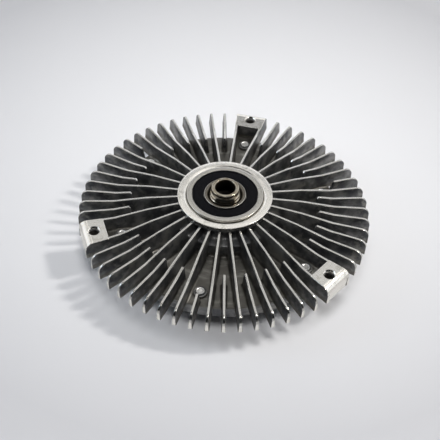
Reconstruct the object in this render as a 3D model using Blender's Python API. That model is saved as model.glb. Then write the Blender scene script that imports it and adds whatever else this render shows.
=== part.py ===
"""Viscous fan clutch of a car engine: finned housing, cover, bearing, shaft, rotor disc, valve and bimetal strip.

The clutch lies on its front cover, rear side up. The origin is on the axis, in the plane that the cover rests on,
and +Z points to the shaft's nose. One fan lug lies on +Y. Sizes are in millimetres and become metres in a mesh.
A name that ends in R is a radius from the axis, Z is a height above the resting plane, and RISE is a height above
the fins' foot. Radii run inwards from the fin tips and outwards from the bearing, heights run up from the front.
"""

import math

import bmesh
import bpy
from mathutils import Matrix, Vector

MM = 0.001
HALF_TURN = 180.0
FULL_TURN = 2 * HALF_TURN

# Places round the axis: the lugs share the turn, the screws stand evenly between them, the fins between the screws
LUG_COUNT = 3
SCREWS_PER_LUG = 2
FINS_PER_SCREW = 5          # long fins from one screw to the next
LUG_START_DEG = 90.0
SCREW_COUNT = LUG_COUNT * SCREWS_PER_LUG
SCREW_START_DEG = LUG_START_DEG - FULL_TURN / SCREW_COUNT
LONG_FINS = SCREW_COUNT * FINS_PER_SCREW
PITCH_DEG = FULL_TURN / LONG_FINS   # from one long fin to the next

# Clearances
SEAT_GAP = 0.3              # between two pieces that touch in the real clutch
RUN_GAP = 0.7               # between the rotor's rim and the chamber's wall
LAND_TIP_GAP = 0.6          # between a rotor land and the housing's ceiling
WEB_GAP = 0.8               # between a housing land and the rotor's web
CHAMBER_FLOOR_GAP = 1.0     # under the rotor
COLLAR_GAP = 0.5            # between the shaft's collar and the separator plate
STRIP_BOSS_GAP = 0.6        # between the pin's boss and the strip
POST_FLOOR_GAP = 0.4        # between the posts and the plane that the cover rests on

# Fins of the housing
TIP_R = 90.0                # outer edge of every fin
FIN_TOP_W = 1.3
FIN_FOOT_W = 2.6            # fin thickness at the foot, near the tip
FIN_CORNER = 5.0            # round outer corner of a fin
FIN_END_LEAN = 0.6          # how far the inner end of a short fin leans outwards
FIN_END_BEVEL = 1.2
KNEE_1_INSET = 42.0         # from the tip to the first bend of a fin's top
KNEE_2_INSET = 22.0
SHORT_FIN_L = 33.0
KNEE_1_RISE = 14.6
KNEE_2_RISE = 10.95
SHOULDER_FALL = 0.65        # from the second bend to the outer corner
FIN_OVER_LIP = 0.7          # top of a long fin above the lip's lower edge

# Turned body of the housing
RIM_INSET = 16.7            # from the fin tips to the outer edge of the body
RIM_RISE = 0.5
RIDGE_INSET = 7.3
RIDGE_RISE = 2.0
FLOOR_RISE = 1.0            # floor between the fins where it meets the hub's step
FLOOR_W = 2.0               # from the fins' foot to the ceiling of the chamber
JOINT_DROP = 3.5            # from the fins' foot to the plane between housing and cover
HUB_WALL = 4.0              # round the bearing
LIP_W = 1.6                 # how far the lip stands out from the hub's neck
LIP_H = 3.5
LIP_RISE = 19.5
LIP_EDGE = 0.4
LIP_BEVEL = 1.1
STEP_W = 7.0                # from the neck to the step under it
STEP_RISE = 9.5
NECK_FLARE = 3.5            # where the chamber's ceiling meets the hub
SEAT_STOP = 2.5             # shoulder that the bearing sits on

# Ring lands of housing and rotor
LAND_W = 1.8
LAND_GAP = 0.7              # between neighbouring lands of housing and rotor
LAND_DEPTH = 3.0
LAND_RIM_INSET = 8.0        # from the chamber's wall to the outermost land of the housing
LAND_HUB_SPACE = 9.0        # from the hub to the innermost land, at least

# Fan lugs
LUG_TIP_INSET = 0.6         # from the fin tips to the lug's outer face
LUG_L = 14.7
LUG_BEND = 5.0              # round outer top edge
LUG_PROUD = 0.5             # over the fins' shoulder
LUG_UNDER = 0.4             # under the fins' foot
LUG_SIDE = 0.9              # lug side, outside the middle plane of the fin beside it
LUG_HOLE_INSET = 7.4
LUG_HOLE_BORE = 2.75
LUG_HOLE_SINK = 1.05

# Cover screws and their bosses
SCREW_RIM_INSET = 8.3       # from the body's outer edge to the screws
SCREW_R = 2.9
SCREW_PROUD = 0.8           # screw end over its boss
SCREW_TIP_BEVEL = 0.6
SCREW_HEAD_W = 1.6          # head over the shank, all round
SCREW_HEAD_H = 3.6
SCREW_SOCKET_R = 2.4
SCREW_SOCKET_DEPTH = 2.2
POCKET_GAP = 0.9            # round a screw head
BOSS_WALL = 1.3
BOSS_RISE = 3.2
BOSS_FIN_GAP = 3.2          # from a boss to the short fin outside it

# Bearing, 20 x 47 x 14. The balls' proportions are shares of their radius.
BEARING_BORE_R = 10.0
BEARING_OUTER_R = 23.5
BALL_WALL = 2.85            # ring wall behind a ball, as if both rings met at its sides
SEAL_ROOM = 3.1             # from a ball to the ring's face
BEARING_PROUD = 0.6         # over the housing's lip
BEARING_EDGE = 0.7
BORE_EDGE = 0.9             # bevel of the inner ring's bore
BALL_COUNT = 8
GROOVE_GAP = 0.6            # between a ball and its grooves
OUTER_LAND_SHARE = 0.705
INNER_LAND_SHARE = 0.654
CAGE_SHARE = 0.27           # half the cage's wall
CAGE_TOP_SHARE = 0.41       # height of the cage's fingers over the ball centres
CAGE_RING = 1.0             # cage ring under the balls
SEAL_STEP = 0.8             # a seal's seat is this much wider than the land beside it
SEAL_W = 1.5
SEAL_RECESS = 0.3
SEAL_LIP_GAP = 0.3
TRACK_DROP = 1.4            # seal track below the inner ring's land

# Shaft
NOSE_PROUD = 5.3            # nose over the bearing
NOSE_RIM_INSET = 1.6        # nose rim inside the bearing's bore
NOSE_WAIST = 0.5            # depth of the waist under the rim
NOSE_FLARE_INSET = 0.9
NOSE_FLARE_H = 0.8          # flare over the bearing
NOSE_EDGE = 0.8
NOSE_WALL = 2.3             # from the nose's rim to its bore
PILOT_DEPTH = 9.0
BOLT_STEP = 1.9             # from the pilot bore to the bolt's bore
BOLT_BORE_DEPTH = 26.0
SHAFT_FLANGE_H = 3.4
SPIGOT_STEP = 1.0           # spigot outside the bearing's bore
COLLAR_W = 1.2
COLLAR_H = 0.5

# Rotor disc
ROTOR_WEB_W = 2.8
ROTOR_HUB_WALL = 6.0

# Front cover
CHAMBER_INSET = 7.5         # from the screws to the chamber's wall
FLANGE_INSET = 0.5          # cover's flange inside the housing's outer edge
FLANGE_W = 4.7
CHAMBER_WALL = 4.2
COVER_WALL = 3.2
STORE_WALL = 2.2            # round and under the silicone store
STORE_DEPTH = 2.8
DOME_EDGE = 3.0
RIB_W = 2.0
RIB_CORNER = 2.5
RIB_REACH = 2.3             # outer end of a rib outside the chamber's wall
RIB_POST_GAP = 2.9
PIN_BOSS_R = 6.0
PIN_BOSS_H = 0.7

# Sealing ring between housing and cover
ORING_THICK = 1.6
ORING_WALL = 1.1            # between chamber and groove

# Separator plate, valve and thermostat
PLATE_INSET = 11.9          # from the chamber's wall to the plate's edge
PLATE_W = 1.0
PLATE_LAP = 2.6             # how far the plate lies on its ledge
FEED_HOLE_R = 2.0
FEED_HOLE_INSET = 16.0      # from the store's wall to the feed hole
RIVET_X = -18.5
RIVET_R = 1.1
RIVET_HEAD_W = 1.3
RIVET_HEAD_H = 0.6
RIVET_HEAD_GAP = 0.5        # lets the leaf tilt
LEAF_W = 7.0
LEAF_T = 0.5
LEAF_LAP = 2.0              # leaf past the feed hole
LEAF_HEEL = 3.5             # leaf behind its rivet
PIN_R = 1.5
PIN_SEAL_W = 1.1            # seal's wall round the pin
PIN_SEAL_H = 1.0
STRIP_INSET = 15.6          # from the plate's edge to the strip's end
STRIP_W = 14.0
STRIP_T = 1.1
STRIP_TRAVEL = 0.8          # how far the strip's middle bows out when hot
POST_W = 20.0
POST_L = 6.5
POST_LIP = 1.0              # post under the strip's slot
POST_BITE = 2.4             # how deep the strip's end sits in its post

# Facets round a full turn
BODY_FACETS = 36
ROTOR_FACETS = 32
RING_FACETS = 28
SHAFT_FACETS = 24
HOLE_FACETS = 12
BOSS_FACETS = 16

# Radii from the fin tips inwards
KNEE_1_R = TIP_R - KNEE_1_INSET
KNEE_2_R = TIP_R - KNEE_2_INSET
SHORT_FIN_R = TIP_R - SHORT_FIN_L
RIM_R = TIP_R - RIM_INSET
RIDGE_R = RIM_R - RIDGE_INSET
LUG_OUTER_R = TIP_R - LUG_TIP_INSET
LUG_INNER_R = LUG_OUTER_R - LUG_L
LUG_FLAT_END_R = LUG_OUTER_R - LUG_BEND
LUG_HOLE_R = LUG_OUTER_R - LUG_HOLE_INSET
FLANGE_R = RIM_R - FLANGE_INSET
SCREW_CIRCLE_R = RIM_R - SCREW_RIM_INSET
BOSS_R = SCREW_R + BOSS_WALL
BOSS_FIN_R = SCREW_CIRCLE_R + BOSS_R + BOSS_FIN_GAP
CHAMBER_R = SCREW_CIRCLE_R - CHAMBER_INSET
ROTOR_R = CHAMBER_R - RUN_GAP
ORING_GROOVE_W = ORING_THICK + 2 * SEAT_GAP
ORING_R = CHAMBER_R + ORING_WALL + ORING_GROOVE_W / 2
PLATE_R = CHAMBER_R - PLATE_INSET
STORE_R = PLATE_R - PLATE_LAP
FEED_HOLE_X = STORE_R - FEED_HOLE_INSET
LEAF_END_X = FEED_HOLE_X + FEED_HOLE_R + LEAF_LAP
LEAF_START_X = RIVET_X - LEAF_HEEL
STRIP_HALF_L = PLATE_R - STRIP_INSET
POST_INNER = STRIP_HALF_L - POST_BITE
RIB_INNER_R = POST_INNER + POST_L + RIB_POST_GAP
RIB_OUTER_R = CHAMBER_R + CHAMBER_WALL + RIB_REACH

# Radii from the bearing inwards and outwards
NECK_R = BEARING_OUTER_R + HUB_WALL
LIP_R = NECK_R + LIP_W
STEP_R = NECK_R + STEP_W
HUB_CEILING_R = NECK_R + NECK_FLARE
SEAT_STOP_R = BEARING_OUTER_R - SEAT_STOP
BALL_CIRCLE_R = (BEARING_BORE_R + BEARING_OUTER_R) / 2
BALL_R = (BEARING_OUTER_R - BEARING_BORE_R) / 2 - BALL_WALL
BEARING_W = 2 * (BALL_R + SEAL_ROOM)
GROOVE_R = BALL_R + GROOVE_GAP
OUTER_LAND_R = BALL_CIRCLE_R + OUTER_LAND_SHARE * BALL_R
INNER_LAND_R = BALL_CIRCLE_R - INNER_LAND_SHARE * BALL_R
SEAL_SEAT_R = OUTER_LAND_R + SEAL_STEP
SEAL_TRACK_R = INNER_LAND_R - TRACK_DROP
SEAL_INNER_R = SEAL_TRACK_R + SEAL_LIP_GAP
CAGE_INNER_R = BALL_CIRCLE_R - CAGE_SHARE * BALL_R
CAGE_OUTER_R = BALL_CIRCLE_R + CAGE_SHARE * BALL_R
NOSE_RIM_R = BEARING_BORE_R - NOSE_RIM_INSET
NOSE_WAIST_R = NOSE_RIM_R - NOSE_WAIST
NOSE_FLARE_R = BEARING_BORE_R - NOSE_FLARE_INSET
PILOT_R = NOSE_RIM_R - NOSE_WALL
BOLT_BORE_R = PILOT_R - BOLT_STEP
SPIGOT_R = BEARING_BORE_R + SPIGOT_STEP
COLLAR_R = SPIGOT_R + COLLAR_W
SHAFT_FLANGE_R = SEAL_TRACK_R
ROTOR_HUB_R = SPIGOT_R + ROTOR_HUB_WALL

# Rings of lands: as many as fit between hub and rim
LAND_PITCH = 2 * (LAND_W + LAND_GAP)
LAST_LAND_R = CHAMBER_R - LAND_RIM_INSET
LAND_RINGS = int((LAST_LAND_R - HUB_CEILING_R - LAND_HUB_SPACE) // LAND_PITCH) + 1

# Heights above the resting plane, from the front upwards
SLOT_LOW_Z = POST_FLOOR_GAP + POST_LIP
STRIP_LOW_Z = SLOT_LOW_Z + SEAT_GAP + STRIP_TRAVEL
STRIP_TOP_Z = STRIP_LOW_Z + STRIP_T
PIN_BOSS_Z = STRIP_TOP_Z + STRIP_BOSS_GAP
DOME_Z = PIN_BOSS_Z + PIN_BOSS_H
STORE_FLOOR_Z = DOME_Z + STORE_WALL
LEDGE_Z = STORE_FLOOR_Z + STORE_DEPTH
PLATE_LOW_Z = LEDGE_Z + SEAT_GAP
PLATE_TOP_Z = PLATE_LOW_Z + PLATE_W
LEAF_TOP_Z = PLATE_LOW_Z - SEAT_GAP
LEAF_LOW_Z = LEAF_TOP_Z - LEAF_T
COLLAR_LOW_Z = PLATE_TOP_Z + COLLAR_GAP
COLLAR_TOP_Z = COLLAR_LOW_Z + COLLAR_H
ROTOR_WEB_LOW_Z = COLLAR_TOP_Z + SEAT_GAP
ROTOR_WEB_TOP_Z = ROTOR_WEB_LOW_Z + ROTOR_WEB_W
CHAMBER_FLOOR_Z = ROTOR_WEB_LOW_Z - CHAMBER_FLOOR_GAP
COVER_FACE_Z = CHAMBER_FLOOR_Z - COVER_WALL
CEILING_Z = ROTOR_WEB_TOP_Z + WEB_GAP + LAND_DEPTH
FOOT_Z = CEILING_Z + FLOOR_W
JOINT_Z = FOOT_Z - JOINT_DROP
COVER_TOP_Z = JOINT_Z - SEAT_GAP
FLANGE_LOW_Z = COVER_TOP_Z - FLANGE_W
SHOULDER_Z = FOOT_Z + KNEE_2_RISE - SHOULDER_FALL
LUG_TOP_Z = SHOULDER_Z + LUG_PROUD
LUG_LOW_Z = FOOT_Z - LUG_UNDER
BOSS_TOP_Z = FOOT_Z + BOSS_RISE
STEP_Z = FOOT_Z + STEP_RISE
LIP_Z = FOOT_Z + LIP_RISE
LIP_LOW_Z = LIP_Z - LIP_H
BEARING_TOP_Z = LIP_Z + BEARING_PROUD
BEARING_LOW_Z = BEARING_TOP_Z - BEARING_W
BALL_Z = BEARING_TOP_Z - BEARING_W / 2
SEAT_STOP_Z = BEARING_LOW_Z - SEAT_GAP
SHAFT_FLANGE_TOP_Z = BEARING_LOW_Z - SEAT_GAP
SHAFT_FLANGE_LOW_Z = SHAFT_FLANGE_TOP_Z - SHAFT_FLANGE_H
FLARE_Z = BEARING_TOP_Z + NOSE_FLARE_H
NOSE_Z = BEARING_TOP_Z + NOSE_PROUD


def clear_scene():
    """Removes every object, so that the script can run again in an open file."""
    for item in list(bpy.data.objects):
        bpy.data.objects.remove(item, do_unlink=True)


def material(name, colour, roughness, metallic):
    """A plain Principled surface."""
    made = bpy.data.materials.new(name)
    made.use_nodes = True
    shader = made.node_tree.nodes["Principled BSDF"]
    shader.inputs["Base Color"].default_value = (*colour, 1.0)
    shader.inputs["Roughness"].default_value = roughness
    shader.inputs["Metallic"].default_value = metallic
    return made


def add_object(name, shape, finish=None, smooth_angle=30.0):
    """Turns a bmesh in millimetres into a named object in metres."""
    bmesh.ops.recalc_face_normals(shape, faces=shape.faces)
    bmesh.ops.scale(shape, vec=(MM, MM, MM), verts=shape.verts)
    mesh = bpy.data.meshes.new(name)
    shape.to_mesh(mesh)
    shape.free()
    mesh.shade_smooth()
    mesh.set_sharp_from_angle(angle=math.radians(smooth_angle))
    made = bpy.data.objects.new(name, mesh)
    bpy.context.scene.collection.objects.link(made)
    if finish is not None:
        mesh.materials.append(finish)
    return made


def tool(name, shape):
    """An object that only cuts or adds to another: it is hidden from renders and drawn as wire."""
    made = add_object(name, shape)
    made.hide_render = True
    made.display_type = "WIRE"
    return made


def combine(target, other, operation):
    """Adds a live Boolean modifier to target."""
    step = target.modifiers.new(other.name, "BOOLEAN")
    step.operation = operation
    step.solver = "EXACT"
    step.object = other


def lathe(profile, facets, start_deg=0.0, into=None, centre=(0.0, 0.0)):
    """Turns a closed outline of (radius, height) points about a vertical axis. A point at radius 0 is a pole."""
    shape = into or bmesh.new()
    columns = []
    for radius, height in profile:
        if radius == 0.0:
            columns.append([shape.verts.new((centre[0], centre[1], height))] * facets)
            continue
        ring = []
        for k in range(facets):
            angle = math.radians(start_deg) + 2.0 * math.pi * k / facets
            x = centre[0] + radius * math.cos(angle)
            y = centre[1] + radius * math.sin(angle)
            ring.append(shape.verts.new((x, y, height)))
        columns.append(ring)
    for low, high in zip(columns, columns[1:] + columns[:1]):
        for k in range(facets):
            corners = []
            for vert in (low[k], low[(k + 1) % facets], high[(k + 1) % facets], high[k]):
                if vert not in corners:
                    corners.append(vert)
            if len(corners) > 2:
                shape.faces.new(corners)
    return shape


def bore_round(radius, facets):
    """Radius of a faceted bore whose flats keep the seat gap from a round piece of the given radius."""
    return (radius + SEAT_GAP) / math.cos(math.pi / facets)


def piece_inside(radius, facets):
    """Radius of a round piece that keeps the seat gap from the flats of a faceted bore."""
    return radius * math.cos(math.pi / facets) - SEAT_GAP


def cylinder(radius, low, high, facets, centre=(0.0, 0.0), start_deg=0.0, into=None):
    """A plain upright cylinder."""
    profile = [(0.0, low), (radius, low), (radius, high), (0.0, high)]
    return lathe(profile, facets, start_deg, into, centre)


def extrude_outline(outline, half_width, turn_deg, into):
    """A slab: outline holds (radius, height) points, half_width(radius, height) gives half its thickness there."""
    turn = Matrix.Rotation(math.radians(turn_deg), 4, "Z")
    sides = []
    for sign in (-1.0, 1.0):
        side = []
        for radius, height in outline:
            point = turn @ Vector((radius, sign * half_width(radius, height), height))
            side.append(into.verts.new(point))
        sides.append(side)
    left, right = sides
    into.faces.new(left)
    into.faces.new(list(reversed(right)))
    count = len(outline)
    for k in range(count):
        into.faces.new((left[(k + 1) % count], left[k], right[k], right[(k + 1) % count]))
    return into


def arc(centre, radius, start_deg, end_deg, steps):
    """Points on an arc in the (radius, height) plane, both ends included."""
    points = []
    for k in range(steps + 1):
        angle = math.radians(start_deg + (end_deg - start_deg) * k / steps)
        points.append((centre[0] + radius * math.cos(angle), centre[1] + radius * math.sin(angle)))
    return points


def polar(radius, angle_deg):
    """A point in plan."""
    angle = math.radians(angle_deg)
    return (radius * math.cos(angle), radius * math.sin(angle))


def lug_angles():
    """Angles of the fan lugs."""
    return [LUG_START_DEG + FULL_TURN * k / LUG_COUNT for k in range(LUG_COUNT)]


def screw_angles():
    """Angles of the cover screws."""
    return [SCREW_START_DEG + FULL_TURN * k / SCREW_COUNT for k in range(SCREW_COUNT)]


def fin_angles():
    """Angles of the long fins and of the cover's ribs: no lug or screw stands on one."""
    return [LUG_START_DEG + (k + 0.5) * PITCH_DEG for k in range(LONG_FINS)]


def near_angle(angle, others):
    """True if angle lies within a quarter of a fin pitch of one of the others."""
    return any(abs((angle - other + HALF_TURN) % FULL_TURN - HALF_TURN) < PITCH_DEG / 4 for other in others)


def fin_half_width(radius, height):
    """Half a fin's thickness: it grows evenly from a straight line along the top down, so both sides stay flat."""
    slope = (KNEE_1_RISE - KNEE_2_RISE + SHOULDER_FALL) / (KNEE_1_INSET - FIN_CORNER)
    top_line = SHOULDER_Z + (TIP_R - FIN_CORNER - radius) * slope
    growth = (FIN_FOOT_W - FIN_TOP_W) / 2.0 / (SHOULDER_Z - FOOT_Z)
    return FIN_TOP_W / 2.0 + growth * (top_line - height)


def fin_outer_edge():
    """The shared outer part of every fin's outline, from the second knee to the foot at the tip."""
    corner = arc((TIP_R - FIN_CORNER, SHOULDER_Z - FIN_CORNER), FIN_CORNER, 90.0, 0.0, 3)
    return [(KNEE_2_R, FOOT_Z + KNEE_2_RISE)] + corner + [(TIP_R, FOOT_Z)]


def long_fin_outline():
    """From inside the hub's neck along the sloping top to the tip and back under the floor."""
    root_r = NECK_R - 1.0
    inner = [
        (STEP_R - 1.0, FOOT_Z),
        (root_r, STEP_Z - 1.5),
        (root_r, LIP_LOW_Z + FIN_OVER_LIP),
        (KNEE_1_R, FOOT_Z + KNEE_1_RISE),
    ]
    return inner + fin_outer_edge()


def short_fin_outline():
    """A fin that starts part of the way out, with a bevelled inner corner."""
    slope = (KNEE_1_RISE - KNEE_2_RISE) / (KNEE_2_R - KNEE_1_R)
    start = SHORT_FIN_R + FIN_END_LEAN
    bevel_end = start + FIN_END_BEVEL
    top = FOOT_Z + KNEE_2_RISE + (KNEE_2_R - bevel_end) * slope
    inner = [(SHORT_FIN_R, FOOT_Z), (start, top - FIN_END_BEVEL), (bevel_end, top)]
    return inner + fin_outer_edge()


def boss_fin_outline():
    """A short fin that starts outside a screw boss."""
    start = BOSS_FIN_R + FIN_END_LEAN
    inner = [(BOSS_FIN_R, FOOT_Z), (start, SHOULDER_Z - FIN_END_BEVEL), (start + FIN_END_BEVEL, SHOULDER_Z)]
    return inner + fin_outer_edge()[1:]


def land_radii(last, count):
    """Inner radii of ring lands that stand one pitch apart, from the innermost to the last."""
    return [last - LAND_PITCH * k for k in reversed(range(count))]


def housing_profile():
    """The turned form of the housing, from the lip's top round the hub's bore, ceiling, joint face and floor."""
    bore_r = bore_round(BEARING_OUTER_R, BODY_FACETS)
    inside = [
        (LIP_R - LIP_EDGE, LIP_Z),
        (bore_r + LIP_BEVEL, LIP_Z),
        (bore_r, LIP_Z - LIP_BEVEL),
        (bore_r, SEAT_STOP_Z),
        (SEAT_STOP_R, SEAT_STOP_Z),
        (SEAT_STOP_R, FOOT_Z + FLOOR_RISE),
        (NECK_R - 0.5, FOOT_Z + FLOOR_RISE),
        (HUB_CEILING_R, CEILING_Z),
    ]
    for inner_r in land_radii(LAST_LAND_R, LAND_RINGS):
        outer_r = inner_r + LAND_W
        tip = CEILING_Z - LAND_DEPTH
        inside += [(inner_r, CEILING_Z), (inner_r, tip), (outer_r, tip), (outer_r, CEILING_Z)]
    outside = [
        (CHAMBER_R, CEILING_Z),
        (CHAMBER_R, JOINT_Z),
        (RIM_R, JOINT_Z),
        (RIM_R, FOOT_Z + RIM_RISE),
        (RIDGE_R, FOOT_Z + RIDGE_RISE),
        (STEP_R + 1.2, FOOT_Z + FLOOR_RISE),
        (STEP_R, FOOT_Z + FLOOR_RISE + 1.2),
        (STEP_R, STEP_Z),
        (NECK_R + 1.0, STEP_Z),
        (NECK_R, STEP_Z + 1.0),
        (NECK_R, LIP_LOW_Z),
        (LIP_R, LIP_LOW_Z),
        (LIP_R, LIP_Z - LIP_EDGE),
    ]
    return inside + outside


def housing_fins():
    """All the fins in one tool: they don't touch each other."""
    fins = bmesh.new()
    for angle in fin_angles():
        extrude_outline(long_fin_outline(), fin_half_width, angle, fins)
        between = angle + PITCH_DEG / 2
        if near_angle(between, lug_angles()):
            continue
        outline = boss_fin_outline() if near_angle(between, screw_angles()) else short_fin_outline()
        extrude_outline(outline, fin_half_width, between, fins)
    return fins


def fan_lugs():
    """Three blocks that fill the space between two long fins, rounded over their outer top edge."""
    lugs = bmesh.new()
    half_pitch = math.radians(PITCH_DEG / 2)
    outline = [(LUG_INNER_R, LUG_LOW_Z), (LUG_INNER_R, LUG_TOP_Z)]
    outline += arc((LUG_FLAT_END_R, LUG_TOP_Z - LUG_BEND), LUG_BEND, 90.0, 0.0, 4)
    outline += [(LUG_OUTER_R, LUG_LOW_Z)]

    def half_width(along, _height):
        return along * math.tan(half_pitch) + LUG_SIDE / math.cos(half_pitch)

    for angle in lug_angles():
        extrude_outline(outline, half_width, angle, lugs)
    return lugs


def screw_bosses():
    """Raised round bosses for the cover screws."""
    bosses = bmesh.new()
    for angle in screw_angles():
        cylinder(BOSS_R, JOINT_Z + 1.0, BOSS_TOP_Z, BOSS_FACETS, polar(SCREW_CIRCLE_R, angle), into=bosses)
    return bosses


def housing_holes():
    """Tapped holes of the lugs with their countersinks, and the holes that the cover screws pass."""
    holes = bmesh.new()
    for angle in lug_angles():
        profile = [
            (0.0, LUG_LOW_Z - 1.0),
            (LUG_HOLE_BORE, LUG_LOW_Z - 1.0),
            (LUG_HOLE_BORE, LUG_TOP_Z - LUG_HOLE_SINK),
            (LUG_HOLE_BORE + LUG_HOLE_SINK + 1.0, LUG_TOP_Z + 1.0),
            (0.0, LUG_TOP_Z + 1.0),
        ]
        lathe(profile, HOLE_FACETS, into=holes, centre=polar(LUG_HOLE_R, angle))
    for angle in screw_angles():
        centre = polar(SCREW_CIRCLE_R, angle)
        cylinder(SCREW_R + SEAT_GAP, JOINT_Z - 1.0, BOSS_TOP_Z + 1.0, HOLE_FACETS, centre, into=holes)
    return holes


def make_housing(finish):
    """The finned casting on the rear side."""
    housing = add_object("finned_housing", lathe(housing_profile(), BODY_FACETS), finish)
    combine(housing, tool("fin_tool", housing_fins()), "UNION")
    combine(housing, tool("lug_tool", fan_lugs()), "UNION")
    combine(housing, tool("boss_tool", screw_bosses()), "UNION")
    combine(housing, tool("housing_hole_tool", housing_holes()), "DIFFERENCE")


def cover_profile():
    """The turned form of the cover: flange with a seal groove, chamber, plate ledge, store and dome."""
    ledge_r = PLATE_R + SEAT_GAP
    groove_in = ORING_R - ORING_GROOVE_W / 2
    groove_out = ORING_R + ORING_GROOVE_W / 2
    groove_z = COVER_TOP_Z - ORING_THICK - SEAT_GAP
    dome_r = ledge_r + STORE_WALL
    return [
        (0.0, STORE_FLOOR_Z),
        (0.0, DOME_Z),
        (dome_r, DOME_Z),
        (dome_r + DOME_EDGE, COVER_FACE_Z),
        (CHAMBER_R + CHAMBER_WALL, COVER_FACE_Z),
        (CHAMBER_R + CHAMBER_WALL, FLANGE_LOW_Z),
        (FLANGE_R, FLANGE_LOW_Z),
        (FLANGE_R, COVER_TOP_Z),
        (groove_out, COVER_TOP_Z),
        (groove_out, groove_z),
        (groove_in, groove_z),
        (groove_in, COVER_TOP_Z),
        (CHAMBER_R, COVER_TOP_Z),
        (CHAMBER_R, CHAMBER_FLOOR_Z),
        (ledge_r, CHAMBER_FLOOR_Z),
        (ledge_r, LEDGE_Z),
        (STORE_R, LEDGE_Z),
        (STORE_R, STORE_FLOOR_Z),
    ]


def cover_ribs():
    """Cooling ribs on the front: their lower edges are what the clutch rests on."""
    ribs = bmesh.new()
    root = COVER_FACE_Z + 0.8
    outline = [
        (RIB_INNER_R, DOME_Z + 0.6),
        (RIB_INNER_R, RIB_CORNER / 2),
        (RIB_INNER_R + RIB_CORNER / 2, 0.0),
        (RIB_OUTER_R - RIB_CORNER, 0.0),
        (RIB_OUTER_R, RIB_CORNER),
        (RIB_OUTER_R, FLANGE_LOW_Z + 0.8),
        (CHAMBER_R + 1.5, FLANGE_LOW_Z + 0.8),
        (CHAMBER_R + 1.5, root),
        (PLATE_R + STORE_WALL, root),
        (PLATE_R - 1.0, DOME_Z + 0.6),
    ]
    for angle in fin_angles():
        extrude_outline(outline, lambda _r, _z: RIB_W / 2, angle, ribs)
    return ribs


def strip_posts():
    """Two slotted posts that hold the ends of the bimetal strip, and the boss that guides the pin."""
    posts = bmesh.new()
    high = DOME_Z + 0.8
    slot_high = STRIP_TOP_Z + SEAT_GAP
    slot_end = STRIP_HALF_L + SEAT_GAP
    outline = [
        (POST_INNER, POST_FLOOR_GAP),
        (POST_INNER + POST_L, POST_FLOOR_GAP),
        (POST_INNER + POST_L, high),
        (POST_INNER, high),
        (POST_INNER, slot_high),
        (slot_end, slot_high),
        (slot_end, SLOT_LOW_Z),
        (POST_INNER, SLOT_LOW_Z),
    ]
    for turn in (0.0, HALF_TURN):
        extrude_outline(outline, lambda _r, _z: POST_W / 2, turn, posts)
    cylinder(PIN_BOSS_R, PIN_BOSS_Z, high, BOSS_FACETS, into=posts)
    return posts


def cover_holes():
    """Screw holes, the pockets round the screw heads, and the pin's bore with the seat of its seal."""
    holes = bmesh.new()
    pocket_r = SCREW_R + SCREW_HEAD_W + POCKET_GAP
    for angle in screw_angles():
        centre = polar(SCREW_CIRCLE_R, angle)
        profile = [
            (0.0, -1.0),
            (pocket_r, -1.0),
            (pocket_r, FLANGE_LOW_Z),
            (SCREW_R + SEAT_GAP, FLANGE_LOW_Z),
            (SCREW_R + SEAT_GAP, COVER_TOP_Z + 1.0),
            (0.0, COVER_TOP_Z + 1.0),
        ]
        lathe(profile, HOLE_FACETS, into=holes, centre=centre)
    pin_hole_r = PIN_R + SEAT_GAP
    seal_hole_r = pin_hole_r + PIN_SEAL_W + SEAT_GAP
    seal_floor = STORE_FLOOR_Z - PIN_SEAL_H - SEAT_GAP
    profile = [
        (0.0, PIN_BOSS_Z - 1.0),
        (pin_hole_r, PIN_BOSS_Z - 1.0),
        (pin_hole_r, seal_floor),
        (seal_hole_r, seal_floor),
        (seal_hole_r, STORE_FLOOR_Z + 1.0),
        (0.0, STORE_FLOOR_Z + 1.0),
    ]
    lathe(profile, HOLE_FACETS, into=holes)
    return holes


def make_cover(finish):
    """The front casting."""
    cover = add_object("front_cover", lathe(cover_profile(), BODY_FACETS), finish)
    combine(cover, tool("rib_tool", cover_ribs()), "UNION")
    combine(cover, tool("post_tool", strip_posts()), "UNION")
    combine(cover, tool("cover_hole_tool", cover_holes()), "DIFFERENCE")


def make_screws(finish):
    """Six socket screws, heads on the front, bright ends standing out of the bosses on the rear."""
    head_top = FLANGE_LOW_Z - SEAT_GAP
    head_low = head_top - SCREW_HEAD_H
    tip = BOSS_TOP_Z + SCREW_PROUD
    head_r = SCREW_R + SCREW_HEAD_W
    profile = [
        (0.0, head_low + SCREW_SOCKET_DEPTH),
        (SCREW_SOCKET_R, head_low + SCREW_SOCKET_DEPTH),
        (SCREW_SOCKET_R, head_low),
        (head_r, head_low),
        (head_r, head_top),
        (SCREW_R, head_top),
        (SCREW_R, tip - SCREW_TIP_BEVEL),
        (SCREW_R - SCREW_TIP_BEVEL, tip),
        (0.0, tip),
    ]
    for number, angle in enumerate(screw_angles(), 1):
        x, y = polar(SCREW_CIRCLE_R, angle)
        screw = add_object(f"cover_screw_{number}", lathe(profile, HOLE_FACETS), finish)
        screw.location = (x * MM, y * MM, 0.0)


def raceway(side, centre_r, facing):
    """Arc of a ball groove. facing is 1 for the outer ring's groove and -1 for the inner ring's."""
    half = math.degrees(math.acos((side - centre_r) * facing / GROOVE_R))
    middle = 0.0 if facing > 0 else HALF_TURN
    return arc((centre_r, BALL_Z), GROOVE_R, middle - half, middle + half, 3)


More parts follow.
